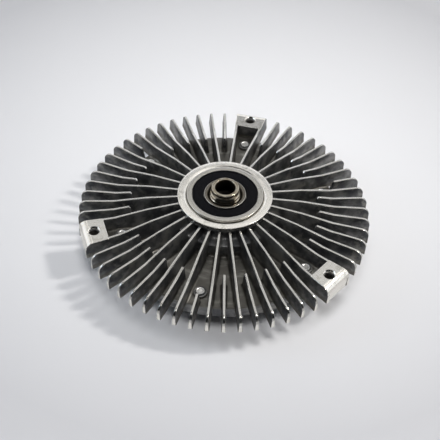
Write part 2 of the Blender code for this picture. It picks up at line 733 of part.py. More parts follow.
def outer_ring_profile():
    """Outer ring: bevelled outside, a groove for the balls inside and a wider seat for a seal at each end."""
    seat = SEAL_W + SEAL_RECESS + SEAT_GAP
    outside = [
        (BEARING_OUTER_R - BEARING_EDGE, BEARING_LOW_Z),
        (BEARING_OUTER_R, BEARING_LOW_Z + BEARING_EDGE),
        (BEARING_OUTER_R, BEARING_TOP_Z - BEARING_EDGE),
        (BEARING_OUTER_R - BEARING_EDGE, BEARING_TOP_Z),
    ]
    inside = [
        (SEAL_SEAT_R, BEARING_TOP_Z),
        (SEAL_SEAT_R, BEARING_TOP_Z - seat),
        (OUTER_LAND_R, BEARING_TOP_Z - seat),
        *reversed(raceway(OUTER_LAND_R, BALL_CIRCLE_R, 1.0)),
        (OUTER_LAND_R, BEARING_LOW_Z + seat),
        (SEAL_SEAT_R, BEARING_LOW_Z + seat),
        (SEAL_SEAT_R, BEARING_LOW_Z),
    ]
    return outside + inside


def inner_ring_profile():
    """Inner ring: bevelled bore, a groove for the balls outside and a lower track for a seal lip at each end."""
    seat = SEAL_W + SEAL_RECESS + SEAT_GAP
    return [
        (BEARING_BORE_R + BORE_EDGE, BEARING_TOP_Z),
        (BEARING_BORE_R, BEARING_TOP_Z - BORE_EDGE),
        (BEARING_BORE_R, BEARING_LOW_Z),
        (SEAL_TRACK_R, BEARING_LOW_Z),
        (SEAL_TRACK_R, BEARING_LOW_Z + seat),
        (INNER_LAND_R, BEARING_LOW_Z + seat),
        *reversed(raceway(INNER_LAND_R, BALL_CIRCLE_R, -1.0)),
        (INNER_LAND_R, BEARING_TOP_Z - seat),
        (SEAL_TRACK_R, BEARING_TOP_Z - seat),
        (SEAL_TRACK_R, BEARING_TOP_Z),
    ]


def cage_shape():
    """A snap-in cage: a ring under the balls with fingers between them."""
    low = BALL_Z - BALL_R - CAGE_RING
    high = BALL_Z + CAGE_TOP_SHARE * BALL_R
    return lathe([(CAGE_INNER_R, low), (CAGE_OUTER_R, low), (CAGE_OUTER_R, high), (CAGE_INNER_R, high)], RING_FACETS)


def ball_shape(radius, centre=(0.0, 0.0, 0.0), into=None):
    """A ball of even triangles."""
    shape = into or bmesh.new()
    bmesh.ops.create_icosphere(shape, subdivisions=2, radius=radius, matrix=Matrix.Translation(centre))
    return shape


def make_bearing(steel, rubber, plastic):
    """The ball bearing between housing and shaft, with a rubber seal at each end."""
    add_object("bearing_outer_ring", lathe(outer_ring_profile(), RING_FACETS), steel)
    add_object("bearing_inner_ring", lathe(inner_ring_profile(), RING_FACETS), steel)
    seal_r = SEAL_SEAT_R - SEAT_GAP
    for name, low in (
        ("rear_seal", BEARING_TOP_Z - SEAL_RECESS - SEAL_W),
        ("front_seal", BEARING_LOW_Z + SEAL_RECESS),
    ):
        profile = [(SEAL_INNER_R, low), (seal_r, low), (seal_r, low + SEAL_W), (SEAL_INNER_R, low + SEAL_W)]
        add_object(name, lathe(profile, RING_FACETS), rubber)
    cage = add_object("bearing_cage", cage_shape(), plastic)
    pockets = bmesh.new()
    for number in range(BALL_COUNT):
        x, y = polar(BALL_CIRCLE_R, (number + 0.5) * FULL_TURN / BALL_COUNT)
        ball_shape(BALL_R + SEAT_GAP, (x, y, BALL_Z), pockets)
        ball = add_object(f"ball_{number + 1}", ball_shape(BALL_R), steel)
        ball.location = (x * MM, y * MM, BALL_Z * MM)
    combine(cage, tool("pocket_tool", pockets), "DIFFERENCE")


def shaft_profile():
    """Hollow nose with a waist, bearing journal, flange under the inner ring, spigot and peened collar."""
    journal_r = piece_inside(BEARING_BORE_R, RING_FACETS)
    return [
        (0.0, COLLAR_LOW_Z),
        (COLLAR_R, COLLAR_LOW_Z),
        (COLLAR_R, COLLAR_TOP_Z),
        (SPIGOT_R, COLLAR_TOP_Z),
        (SPIGOT_R, SHAFT_FLANGE_LOW_Z),
        (SHAFT_FLANGE_R, SHAFT_FLANGE_LOW_Z),
        (SHAFT_FLANGE_R, SHAFT_FLANGE_TOP_Z),
        (journal_r, SHAFT_FLANGE_TOP_Z),
        (journal_r, FLARE_Z - 1.5),
        (NOSE_FLARE_R, FLARE_Z - 0.8),
        (NOSE_FLARE_R, FLARE_Z),
        (NOSE_WAIST_R, FLARE_Z + 1.6),
        (NOSE_WAIST_R, NOSE_Z - 1.8),
        (NOSE_RIM_R, NOSE_Z - NOSE_EDGE),
        (NOSE_RIM_R - NOSE_EDGE, NOSE_Z),
        (PILOT_R, NOSE_Z),
        (PILOT_R, NOSE_Z - PILOT_DEPTH),
        (BOLT_BORE_R, NOSE_Z - PILOT_DEPTH - 1.0),
        (BOLT_BORE_R, NOSE_Z - BOLT_BORE_DEPTH),
        (0.0, NOSE_Z - BOLT_BORE_DEPTH - 2.0),
    ]


def rotor_profile():
    """Rotor disc: hub on the shaft's spigot, flat web, ring lands on the rear face."""
    bore_r = bore_round(SPIGOT_R, ROTOR_FACETS)
    hub_top = SHAFT_FLANGE_LOW_Z - SEAT_GAP
    tip = CEILING_Z - LAND_TIP_GAP
    points = [
        (bore_r, ROTOR_WEB_LOW_Z),
        (ROTOR_R, ROTOR_WEB_LOW_Z),
        (ROTOR_R, ROTOR_WEB_TOP_Z),
    ]
    for inner_r in reversed(land_radii(LAST_LAND_R + LAND_PITCH / 2, LAND_RINGS + 1)):
        outer_r = inner_r + LAND_W
        points += [(outer_r, ROTOR_WEB_TOP_Z), (outer_r, tip), (inner_r, tip), (inner_r, ROTOR_WEB_TOP_Z)]
    return points + [(ROTOR_HUB_R, ROTOR_WEB_TOP_Z), (ROTOR_HUB_R, hub_top), (bore_r, hub_top)]


def make_drive(steel, alloy):
    """Shaft and rotor disc, which turn together."""
    add_object("shaft", lathe(shaft_profile(), SHAFT_FACETS), steel)
    add_object("rotor_disc", lathe(rotor_profile(), ROTOR_FACETS), alloy)


def make_sealing_ring(rubber):
    """Round rubber ring in the cover's groove."""
    middle = COVER_TOP_Z - ORING_THICK / 2
    section = arc((ORING_R, middle), ORING_THICK / 2, 18.0, 306.0, 4)
    add_object("cover_sealing_ring", lathe(section, BODY_FACETS), rubber)


def make_valve(steel, rubber):
    """Separator plate, valve leaf with its rivet, actuator pin with its seal."""
    plate = add_object("separator_plate", cylinder(PLATE_R, PLATE_LOW_Z, PLATE_TOP_Z, BODY_FACETS), steel)
    holes = bmesh.new()
    cylinder(FEED_HOLE_R, PLATE_LOW_Z - 1.0, PLATE_TOP_Z + 1.0, HOLE_FACETS, (FEED_HOLE_X, 0.0), into=holes)
    cylinder(RIVET_R + SEAT_GAP, PLATE_LOW_Z - 1.0, PLATE_TOP_Z + 1.0, HOLE_FACETS, (RIVET_X, 0.0), into=holes)
    combine(plate, tool("plate_hole_tool", holes), "DIFFERENCE")

    leaf_shape = bmesh.new()
    outline = [
        (LEAF_START_X, LEAF_LOW_Z),
        (LEAF_END_X, LEAF_LOW_Z),
        (LEAF_END_X, LEAF_TOP_Z),
        (LEAF_START_X, LEAF_TOP_Z),
    ]
    extrude_outline(outline, lambda _x, _z: LEAF_W / 2, 0.0, leaf_shape)
    leaf = add_object("valve_leaf", leaf_shape, steel)
    leaf_hole = cylinder(RIVET_R + 2 * SEAT_GAP, LEAF_LOW_Z - 1.0, LEAF_TOP_Z + 1.0, HOLE_FACETS, (RIVET_X, 0.0))
    combine(leaf, tool("leaf_hole_tool", leaf_hole), "DIFFERENCE")

    plate_top = PLATE_TOP_Z + SEAT_GAP / 2
    head_top = LEAF_LOW_Z - RIVET_HEAD_GAP
    profile = [
        (0.0, head_top - RIVET_HEAD_H),
        (RIVET_R + RIVET_HEAD_W, head_top - RIVET_HEAD_H),
        (RIVET_R + RIVET_HEAD_W, head_top),
        (RIVET_R, head_top),
        (RIVET_R, plate_top),
        (0.0, plate_top),
    ]
    rivet = add_object("valve_rivet", lathe(profile, HOLE_FACETS), steel)
    rivet.location = (RIVET_X * MM, 0.0, 0.0)

    add_object(
        "actuator_pin",
        cylinder(PIN_R, STRIP_TOP_Z + SEAT_GAP, LEAF_LOW_Z - SEAT_GAP, HOLE_FACETS),
        steel,
    )
    low = STORE_FLOOR_Z - PIN_SEAL_H
    inner = PIN_R + SEAT_GAP
    outer = inner + PIN_SEAL_W
    profile = [(inner, low), (outer, low), (outer, STORE_FLOOR_Z), (inner, STORE_FLOOR_Z)]
    add_object("pin_seal", lathe(profile, HOLE_FACETS), rubber)


def make_bimetal_strip(finish):
    """Flat strip across the front, its ends in the posts' slots."""
    shape = bmesh.new()
    outline = [
        (-STRIP_HALF_L, STRIP_LOW_Z),
        (STRIP_HALF_L, STRIP_LOW_Z),
        (STRIP_HALF_L, STRIP_TOP_Z),
        (-STRIP_HALF_L, STRIP_TOP_Z),
    ]
    extrude_outline(outline, lambda _x, _z: STRIP_W / 2, 0.0, shape)
    add_object("bimetal_strip", shape, finish)


def build():
    """Makes every piece of the clutch."""
    clear_scene()
    alloy = material("cast_aluminium", (0.30, 0.30, 0.29), 0.45, 1.0)
    steel = material("bearing_steel", (0.62, 0.61, 0.58), 0.25, 1.0)
    rubber = material("black_rubber", (0.012, 0.012, 0.012), 0.6, 0.0)
    plastic = material("cage_plastic", (0.55, 0.50, 0.40), 0.5, 0.0)
    zinc = material("zinc_steel", (0.60, 0.60, 0.57), 0.35, 1.0)
    bimetal = material("bimetal", (0.60, 0.55, 0.47), 0.35, 1.0)
    make_housing(alloy)
    make_cover(alloy)
    make_screws(zinc)
    make_bearing(steel, rubber, plastic)
    make_drive(steel, alloy)
    make_sealing_ring(rubber)
    make_valve(steel, rubber)
    make_bimetal_strip(bimetal)


build()
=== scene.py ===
"""Looks of a viscous fan clutch that lies on its front cover, on a pale floor under soft studio light.

Sizes are in millimetres, in the frame's own axes: +Z is the clutch axis and points to the shaft's nose, and
one fan lug lies on +Y. Every new piece is a surface worked out as an array of points. A piece becomes metres
when its mesh is made.
"""

import math

import bpy
import bmesh
import numpy as np
from mathutils import Matrix, Vector


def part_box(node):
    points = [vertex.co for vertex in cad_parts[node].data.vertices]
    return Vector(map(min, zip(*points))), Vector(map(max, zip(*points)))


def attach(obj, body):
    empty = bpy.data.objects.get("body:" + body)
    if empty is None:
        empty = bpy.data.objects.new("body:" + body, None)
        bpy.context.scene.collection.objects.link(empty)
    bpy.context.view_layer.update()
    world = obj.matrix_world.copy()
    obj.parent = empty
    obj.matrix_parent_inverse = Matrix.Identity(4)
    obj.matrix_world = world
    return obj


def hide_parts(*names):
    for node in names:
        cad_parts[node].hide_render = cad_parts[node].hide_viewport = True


MM = 0.001

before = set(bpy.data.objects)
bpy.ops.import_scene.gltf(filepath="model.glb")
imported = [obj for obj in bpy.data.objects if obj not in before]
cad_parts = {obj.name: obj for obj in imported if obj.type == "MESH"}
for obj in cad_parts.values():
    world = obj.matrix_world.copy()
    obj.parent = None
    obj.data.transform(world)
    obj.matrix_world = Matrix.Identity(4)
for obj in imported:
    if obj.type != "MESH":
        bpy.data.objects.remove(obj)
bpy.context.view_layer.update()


def top_of(node):
    """Highest point of a node, in millimetres."""
    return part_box(node)[1].z / MM


def bottom_of(node):
    """Lowest point of a node, in millimetres."""
    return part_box(node)[0].z / MM


def radius_of(node):
    """Largest distance of a round node from the clutch axis along X, in millimetres."""
    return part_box(node)[1].x / MM


# Driving sizes of the finned housing
TIP_R = radius_of("finned_housing")
PITCH = 12.0
LONG_FINS = 30
LUG_ANGLES = (90.0, 210.0, 330.0)
SCREW_ANGLES = (30.0, 90.0, 150.0, 210.0, 270.0, 330.0)
LIP_TOP = top_of("finned_housing")
FOOT = LIP_TOP - 19.5
JOINT = bottom_of("finned_housing")
FIN_R = np.array([26.5, 48.0, 68.0, 85.0])                  # a fin's inner end, two knees and outer corner
FIN_TOP = FOOT + np.array([16.7, 14.6, 10.95, 10.3])        # and the height of its top there
FIN_CORNER = 5.0
FIN_HALF = 0.65             # half a fin's thickness on a line that starts at the outer corner,
FIN_SLOPE = 0.116           # the line's rise for each millimetre inwards,
FIN_DRAFT = 0.0631          # and the half thickness gained for each millimetre below the line
FIN_EDGE = 0.22
FIN_CUT = 0.8               # mark of the milled fin tops, duller than the lathe-turned lip, whose mark is 1
FIN_END = 0.55              # rounding of the fins' inner ends
TIP_EDGE = 0.2              # rounding of their outer ends
LEAN_REACH = 5.0            # how far from its inner end a leaning fin stands straight
SHORT_FIN_R = 57.0
BOSS_FIN_R = 70.2           # its foot; the inner end leans outwards
RIM_R = 73.3
RIDGE_R = 66.0
STEP_R = 34.5
STEP_TOP = FOOT + 9.5
FLOOR_IN = FOOT + 1.0
FLOOR_OUT = FOOT + 2.0
RIM_TOP = FOOT + 0.5
NECK_R = 27.5
LIP_R = 29.1
LIP_UNDER = FOOT + 16.0
CEILING = FOOT - 2.0
LANDS = (44.5, 49.5)        # inner radii of the ring lands that stand between the rotor's
LAND_DEPTH = 3.0

# Lugs, bosses and screws
LUG_INNER, LUG_FLAT_END, LUG_OUTER = 74.7, 84.4, 89.4
LUG_TOP = FOOT + 10.8
LUG_UNDER = FOOT - 0.4
LUG_HOLE_AT = 82.0
LUG_THREAD_R = 2.75
LUG_SINK_R = 3.7
LUG_EDGE = 0.45
LUG_STEPS = 32              # points along each long side of a lug's outline
LUG_RINGS = 15              # rings of points from the hole to the outline
LUG_CUT = 0.89              # mark of the lugs' milled tops
# Holes are marked for painted shade: their walls are painted dark
HOLE_SHADE_MARK = -1.0            # mark of dark holes
THREAD_PITCH = 1.0
THREAD_DEPTH = 0.35
SCREW_AT = 65.0
SCREW_R = 2.9
BOSS_R = 4.2
BOSS_TOP = FOOT + 3.2
SCREW_TOP = FOOT + 4.0
SCREW_HEAD_R = 4.5

# Bearing and shaft
BEARING_R = radius_of("bearing_outer_ring")
BEARING_TOP = top_of("bearing_outer_ring")
BEARING_LOW = bottom_of("bearing_outer_ring")
BALL_Z = (BEARING_TOP + BEARING_LOW) / 2
BALL_AT = 16.75
BALL_R = 3.9
GROOVE_R = 4.4
OUTER_LAND_R = 19.5
INNER_LAND_R = 14.2
NOSE_TOP = top_of("shaft")
NOSE_EDGE_R = 6.6
NOSE_BORE_R = 6.1
BOLT_THREAD_R = 4.2
BOLT_THREAD_DEPTH = 0.4
BOLT_PITCH = 1.5
SHAFT_LOW = bottom_of("shaft")

# Front cover
COVER_R = radius_of("front_cover")
COVER_TOP = top_of("front_cover")
FLANGE_LOW = COVER_TOP - 4.7
CHAMBER_R = 57.5
WALL_R = 61.7
COVER_FACE = FOOT - 12.8
DOME = FOOT - 16.2
DOME_R = 48.1
STORE_FLOOR = DOME + 2.2
RIBS = 30
RIB_INNER, RIB_OUTER = 37.0, 64.0
POCKET_R = 5.4
POST_HALF = 10.0
STRIP_HALF = 7.0

SEGMENTS = 192              # points round a full turn
SHARP_ANGLE = 32.0          # degrees between two faces from which their edge stays sharp
NEARLY_STRAIGHT = 1.55      # half a corner's angle from which it isn't rounded

# Colours, as linear red, green and blue
SKIN_DARK, SKIN_LIGHT = (0.095, 0.097, 0.102), (0.31, 0.308, 0.30)
# The floor colour between the fins is partly a brown stain and partly painted shade
FLOOR_STAIN_AND_SHADE, PALE_PATCH = (0.13, 0.122, 0.105), (0.36, 0.35, 0.32)
MILLED, LATHED = (0.52, 0.51, 0.48), (0.84, 0.81, 0.75)
TOOL_LINES, DULL_CUT = (0.50, 0.48, 0.43), (0.40, 0.385, 0.34)
# Painted shade inside holes
PAINTED_HOLE_SHADE = (0.06, 0.055, 0.05)
STEEL_LIGHT, STEEL_DARK = (0.40, 0.365, 0.30), (0.27, 0.225, 0.155)
# Painted shade in the shaft's bore, darker further down
BORE_SHADE, DEEP_BORE_SHADE = (0.08, 0.066, 0.048), (0.008, 0.007, 0.006)
RING_DARK, RING_LIGHT = (0.40, 0.385, 0.35), (0.52, 0.50, 0.455)
# Painted shade on the inner ring's face, and darker painted shade on its bore bevel
INNER_RING_SHADE, RING_BORE_SHADE = (0.17, 0.155, 0.13), (0.03, 0.028, 0.025)
BLACK, DUSTY_BLACK = (0.003, 0.003, 0.004), (0.009, 0.009, 0.010)
# The third zinc tone is a painted highlight for the bevel of the screw ends
ZINC_LIGHT, ZINC_DARK, ZINC_PAINTED_HIGHLIGHT = (0.62, 0.61, 0.58), (0.38, 0.37, 0.35), (0.74, 0.73, 0.70)
CREAM_DARK, CREAM_LIGHT = (0.50, 0.45, 0.34), (0.60, 0.55, 0.44)

# Studio. Distances and sizes of walls and lamps are in metres
WALL_AT = 0.9               # where the paper begins to rise behind and beside the clutch
WALL_BEND = 0.5
WALL_TOP = 1.1
OPEN_SIDE = (-90.0, 55.0, 80.0)     # viewer's side: azimuth, and the angles from it between which walls rise
# The paper's colour holds a painted pool of light, brightest at one spot
PAPER_PAINTED_LIT = (0.93, 0.93, 0.945)
PAPER_PAINTED_DIM = (0.62, 0.62, 0.64)
WALL_GLOW = (0.70, 0.72, 0.75)      # what metal sees of the lit walls
FAR_GLOW = (0.50, 0.50, 0.51)       # what a camera sees more of on the far paper
PAINTED_LIGHT_AT = (-15.0, 88.0)           # plan of the paper's brightest spot in millimetres
PAINTED_LIGHT_REACH = 240.0
ROOM_LIGHT = (0.8, 0.88, 1.0, 1)    # dim light from all round
ROOM_STRENGTH = 0.02
ROOM_SEEN = (0.84, 0.84, 0.86, 1)   # what a camera sees past the paper
WHITE, WARM, BLUE = (1, 1, 1), (1.0, 0.98, 0.95), (0.70, 0.84, 1.0)

# Each lamp: name, azimuth, elevation, distance, size, power, colour, whether it lights things, whether metal
# mirrors it. The panels and boards are only there to be mirrored.
LAMPS = [
    ("overhead", -90, 73, 1.3, (0.5, 0.5), 8.0, WHITE, True, False),
    ("glint", -90, 76, 1.3, (0.3, 0.3), 1.3, WHITE, True, True),
    ("back_panel", 90, 60, 1.3, (1.0, 0.77), 2.3, WHITE, False, True),
    ("right_panel", -8, 70, 1.3, (0.8, 0.6), 1.35, WHITE, False, True),
    ("left_panel", 205, 68, 1.3, (0.5, 0.5), 0.55, WHITE, False, True),
    ("right_board", 36, 50, 1.3, (0.6, 0.55), 0.9, WHITE, False, True),
    ("left_board", 144, 50, 1.3, (0.6, 0.55), 0.75, WHITE, False, True),
    ("key", -3, 53, 1.4, (0.17, 0.17), 8.1, WARM, True, True),
    ("left", 185, 38, 1.3, (0.5, 0.5), 2.0, BLUE, True, True),
]

# Camera, as fitted to the photograph
CAMERA_ELEVATION = 46.54
CAMERA_TURN = 10.64         # viewing direction, turned from -Y about the axis
CAMERA_ROLL = -2.46
CAMERA_DISTANCE = 576.0
CAMERA_ASIDE = 2.4
CAMERA_BELOW = 2.65
SENSOR = 36.0
FOCAL = 920.1 / 440 * SENSOR        # 920.1 pixels, in a picture 440 pixels wide


# Outlines and grids of points


def rounded(corners, steps=3, closed=True):
    """An outline whose corners (a, b, radius) become steps + 1 points on the arc that touches both sides."""
    points = []
    count = len(corners)
    for k, (a, b, radius) in enumerate(corners):
        here = np.array((a, b), float)
        if radius == 0 or (not closed and k in (0, count - 1)):
            points.append(here)
            continue
        before = np.array(corners[k - 1][:2], float) - here
        after = np.array(corners[(k + 1) % count][:2], float) - here
        reach = 0.49 * min(np.hypot(*before), np.hypot(*after))
        before /= np.hypot(*before)
        after /= np.hypot(*after)
        half = math.acos(np.clip(before @ after, -1, 1)) / 2
        if half > NEARLY_STRAIGHT:
            points.append(here)
            continue
        radius = min(radius, reach * math.tan(half))
        middle = here + (before + after) / np.hypot(*(before + after)) * radius / math.sin(half)
        start = here + before * radius / math.tan(half) - middle
        end = here + after * radius / math.tan(half) - middle
        turn = math.atan2(start[0] * end[1] - start[1] * end[0], start @ end)
        for step in range(steps + 1):
            angle = turn * step / steps
            spin = np.array([[math.cos(angle), -math.sin(angle)], [math.sin(angle), math.cos(angle)]])
            points.append(middle + spin @ start)
    return np.array(points)


def turned(outline, segments=SEGMENTS, centre=(0.0, 0.0)):
    """Points (r cos a, r sin a, z) for each outline point (r, z) and each angle a round a full turn."""
    angle = np.linspace(0, 2 * np.pi, segments, endpoint=False)[:, None]
    r, z = outline[:, 0][None], outline[:, 1][None]
    x = centre[0] + r * np.cos(angle)
    y = centre[1] + r * np.sin(angle)
    return np.stack([x, y, z + 0 * angle], -1)


def spun(points, degrees):
    """The same points turned about the clutch axis."""
    angle = math.radians(degrees)
    x = points[..., 0] * math.cos(angle) - points[..., 1] * math.sin(angle)
    y = points[..., 0] * math.sin(angle) + points[..., 1] * math.cos(angle)
    return np.stack([x, y, points[..., 2]], -1)


def polar(r, degrees):
    """A point in plan."""
    return r * math.cos(math.radians(degrees)), r * math.sin(math.radians(degrees))


def slab(outline, low, high, edge):
    """A plate: the outline (a, b) carried from low to high, drawn in by a quarter round at both faces."""
    before = outline - np.roll(outline, 1, axis=0)
    after = np.roll(outline, -1, axis=0) - outline
    along = before / np.hypot(*before.T)[:, None] + after / np.hypot(*after.T)[:, None]
    along /= np.hypot(*along.T)[:, None]
    area = np.sum(outline[:, 0] * np.roll(outline[:, 1], -1) - outline[:, 1] * np.roll(outline[:, 0], -1))
    inward = np.stack([-along[:, 1], along[:, 0]], -1) * np.sign(area)
    bend = np.linspace(0, np.pi / 2, 4)
    inset = edge * (1 - np.sin(bend))
    rise = edge * (1 - np.cos(bend))
    inset = np.concatenate([inset, inset[::-1]])
    height = np.concatenate([low + rise, high - rise[::-1]])
    plan = outline[:, None] + inward[:, None] * inset[None, :, None]
    return np.concatenate([plan, np.broadcast_to(height[None, :, None], plan.shape[:2] + (1,))], -1)


class Shells:
    """Closed grids of points that become one mesh."""

    def __init__(self):
        self.points = []
        self.faces = []
        self.marks = []
        self.count = 0

    def add(self, grid, wrap_u=True, wrap_v=False, cap_u=False, cap_v=False, mark=0.0):
        """Joins neighbours by quads. wrap closes a direction on itself, cap fills its two end loops."""
        rows, columns = grid.shape[:2]
        index = self.count + np.arange(rows * columns).reshape(rows, columns)
        here = index if wrap_u else index[:-1]
        there = np.roll(index, -1, axis=0) if wrap_u else index[1:]
        if wrap_v:
            corners = [here, there, np.roll(there, -1, axis=1), np.roll(here, -1, axis=1)]
        else:
            corners = [here[:, :-1], there[:, :-1], there[:, 1:], here[:, 1:]]
        self.faces += np.stack(corners, -1).reshape(-1, 4).tolist()
        if cap_u:
            self.faces += [index[0].tolist(), index[-1][::-1].tolist()]
        if cap_v:
            self.faces += [index[:, 0].tolist(), index[::-1, -1].tolist()]
        self.points.append(grid.reshape(-1, 3))
        self.marks.append(np.broadcast_to(mark, (rows, columns)).reshape(-1))
        self.count += rows * columns
        return self

    def piece(self, name, body, surface, slot, *nodes):
        """Makes the mesh in metres, merges seams and poles, and lets it ride in place of the CAD nodes."""
        mesh = bpy.data.meshes.new(name)
        mesh.from_pydata((np.concatenate(self.points) * MM).tolist(), [], self.faces)
        layer = mesh.attributes.new("machined", "FLOAT", "POINT")
        layer.data.foreach_set("value", np.concatenate(self.marks).astype(np.float32))
        work = bmesh.new()
        work.from_mesh(mesh)
        bmesh.ops.remove_doubles(work, verts=work.verts, dist=2e-6)
        bmesh.ops.recalc_face_normals(work, faces=work.faces)
        work.to_mesh(mesh)
        work.free()
        mesh.shade_smooth()
        mesh.set_sharp_from_angle(angle=math.radians(SHARP_ANGLE))
        mesh.materials.append(surface)
        made = bpy.data.objects.new(name, mesh)
        bpy.context.scene.collection.objects.link(made)
        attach(made, body)
        if nodes:
            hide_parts(*nodes)
        return made


# Shader helpers


class Value:
    """A shader socket. Arithmetic on it adds Math nodes, and plain numbers may stand on either side."""

    def __init__(self, surface, socket):
        self.surface = surface
        self.socket = socket

    def math(self, operation, *inputs):
        return self.surface.node("ShaderNodeMath", {"operation": operation}, dict(enumerate(inputs)))

    def __add__(self, other):
        return self.math("ADD", self, other)

    def __sub__(self, other):
        return self.math("SUBTRACT", self, other)

    def __rsub__(self, other):
        return self.math("SUBTRACT", other, self)

    def __mul__(self, other):
        return self.math("MULTIPLY", self, other)

    def __truediv__(self, other):
        return self.math("DIVIDE", self, other)

    def __pow__(self, other):
        return self.math("POWER", self, other)

    __radd__ = __add__
    __rmul__ = __mul__

    def ramp(self, low, high):
        """0 below low, 1 above high, and smooth between."""
        settings = {"interpolation_type": "SMOOTHSTEP"}
        inputs = {"Value": self, "From Min": low, "From Max": high}
        return self.surface.node("ShaderNodeMapRange", settings, inputs)


class Surface:
    """A material with one Principled shader. Fixed values are set on the shader's own sockets."""

    def __init__(self, name, fixed):
        self.material = bpy.data.materials.new(name)
        self.material.use_nodes = True
        self.tree = self.material.node_tree
        self.shader = self.tree.nodes["Principled BSDF"]
        for socket, value in fixed.items():
            self.shader.inputs[socket].default_value = value
        place = self.node("ShaderNodeTexCoord", output="Object")
        self.place = self.node("ShaderNodeVectorMath", {"operation": "SCALE"}, {0: place, "Scale": 1 / MM})

    def node(self, kind, settings=None, inputs=None, output=0):
        """Adds a node: its settings first, then the values or links of its sockets."""
        made = self.tree.nodes.new(kind)
        for key, value in (settings or {}).items():
            setattr(made, key, value)
        for key, value in (inputs or {}).items():
            if isinstance(value, Value):
                self.tree.links.new(value.socket, made.inputs[key])
            else:
                made.inputs[key].default_value = value
        return Value(self, made.outputs[output])

    def noise(self, scale, detail, rough, place=None):
        """Noise with about this many blobs in a millimetre, as a value near 0.5."""
        inputs = {"Vector": place or self.place, "Scale": scale, "Detail": detail, "Roughness": rough}
        return self.node("ShaderNodeTexNoise", None, inputs)

    def axes(self):
        """The point's x, y and z in millimetres."""
        split = self.tree.nodes.new("ShaderNodeSeparateXYZ")
        self.tree.links.new(self.place.socket, split.inputs[0])
        return [Value(self, socket) for socket in split.outputs]

    def radius(self):
        """Distance from the clutch axis."""
        x, y, _ = self.axes()
        return (x * x + y * y) ** 0.5

    def polar_place(self, rings, spokes):
        """A vector (radius, angle, height) for marks that run round the axis."""
        x, y, z = self.axes()
        angle = x.math("ARCTAN2", y, x)
        r = (x * x + y * y) ** 0.5
        return self.node("ShaderNodeCombineXYZ", None, {0: r * rings, 1: angle * spokes, 2: z * rings})

    def mix(self, factor, first, second):
        """A colour between two colours."""
        settings = {"data_type": "RGBA"}
        paint = [c if isinstance(c, Value) else (*c, 1.0) for c in (first, second)]
        return self.node("ShaderNodeMix", settings, {0: factor, 6: paint[0], 7: paint[1]}, output=2)

    def attribute(self, name):
        """A number kept on the mesh's points."""
        return self.node("ShaderNodeAttribute", {"attribute_name": name}, output="Fac")

    def bump(self, height, distance, normal=None):
        """Adds relief: distance is in millimetres for a height of 1."""
        inputs = {"Height": height, "Distance": distance * MM, "Strength": 1.0}
        if normal:
            inputs["Normal"] = normal
        return self.node("ShaderNodeBump", None, inputs)

    def set(self, **sockets):
        """Links varying values to the shader, and returns the material."""
        for name, value in sockets.items():
            self.tree.links.new(value.socket, self.shader.inputs[name.replace("_", " ")])
        return self.material


# Finishes


def cast_aluminium():
    """Grey die-cast skin, clouded and stained. On the floor between the fins it is browner, partly a stain,
    and darker with painted shade. Mesh marks say where it differs: about 0.8 is milled, paler, smoother and
    lined, 1 is lathe-turned and paler still, and -1 is painted shade in a hole."""
    surface = Surface("cast_aluminium", {"Specular IOR Level": 0.3})
    mark = surface.attribute("machined")
    machined = mark.ramp(0.35, 0.65)
    turned_face = mark.ramp(0.85, 0.97)
    # Painted shade inside holes
    hole = mark.ramp(-0.3, -0.7)
    _, _, z = surface.axes()
    # floor: the floor between the fins, where a brown stain and painted shade are mixed in
    floor = z.ramp(FOOT + 4.0, FOOT + 2.2) * z.ramp(FOOT - 1.0, FOOT - 0.5)
    cloud = surface.noise(0.09, 4.0, 0.62)
    patch = surface.noise(0.28, 3.0, 0.6, surface.polar_place(0.6, 9.0))
    grain = surface.noise(1.6, 4.0, 0.65)
    skin = surface.mix(cloud.ramp(0.36, 0.72), SKIN_DARK, SKIN_LIGHT)
    skin = surface.mix(floor * 0.85, skin, FLOOR_STAIN_AND_SHADE)
    skin = surface.mix(patch.ramp(0.5, 0.68) * 0.6, skin, PALE_PATCH)
    lines = surface.noise(1.0, 2.0, 0.5, surface.polar_place(4.0, 1.5))
    dull = surface.noise(0.16, 3.0, 0.6)
    cut = surface.mix(turned_face, MILLED, LATHED)
    cut = surface.mix(lines.ramp(0.35, 0.75) * 0.3, cut, TOOL_LINES)
    cut = surface.mix(dull.ramp(0.52, 0.7) * 0.5, cut, DULL_CUT)
    colour = surface.mix(machined, skin, cut)
    colour = surface.mix(hole, colour, PAINTED_HOLE_SHADE)
    rough = 0.42 - machined * 0.2 + (grain - 0.5) * 0.2
    grainy = surface.bump(grain * (1 - machined * 0.75), 0.09)
    lined = surface.bump(lines * machined, 0.008, grainy)
    return surface.set(Base_Color=colour, Metallic=0.84 + machined * 0.16, Roughness=rough, Normal=lined)


def turned_steel():
    """Bare steel with a film of oil, ringed by a lathe tool, with painted shade in the bore that grows darker
    further down.
    """
    surface = Surface("turned_steel", {"Metallic": 1.0})
    lines = surface.noise(1.0, 2.0, 0.5, surface.polar_place(7.0, 0.4))
    stain = surface.noise(0.35, 4.0, 0.6)
    colour = surface.mix(stain.ramp(0.35, 0.7), STEEL_LIGHT, STEEL_DARK)
    # Painted shade on the bore's wall
    inside = surface.radius().ramp(NOSE_EDGE_R, NOSE_BORE_R + 0.1)
    colour = surface.mix(inside, colour, BORE_SHADE)
    _, _, z = surface.axes()
    # Darker painted shade further down the bore
    deep = inside * z.ramp(NOSE_TOP - 2.0, NOSE_TOP - 6.5)
    colour = surface.mix(deep, colour, DEEP_BORE_SHADE)
    rough = 0.1 + lines * 0.06 + stain * 0.06 + inside * 0.3
    return surface.set(Base_Color=colour, Roughness=rough, Normal=surface.bump(lines, 0.006))


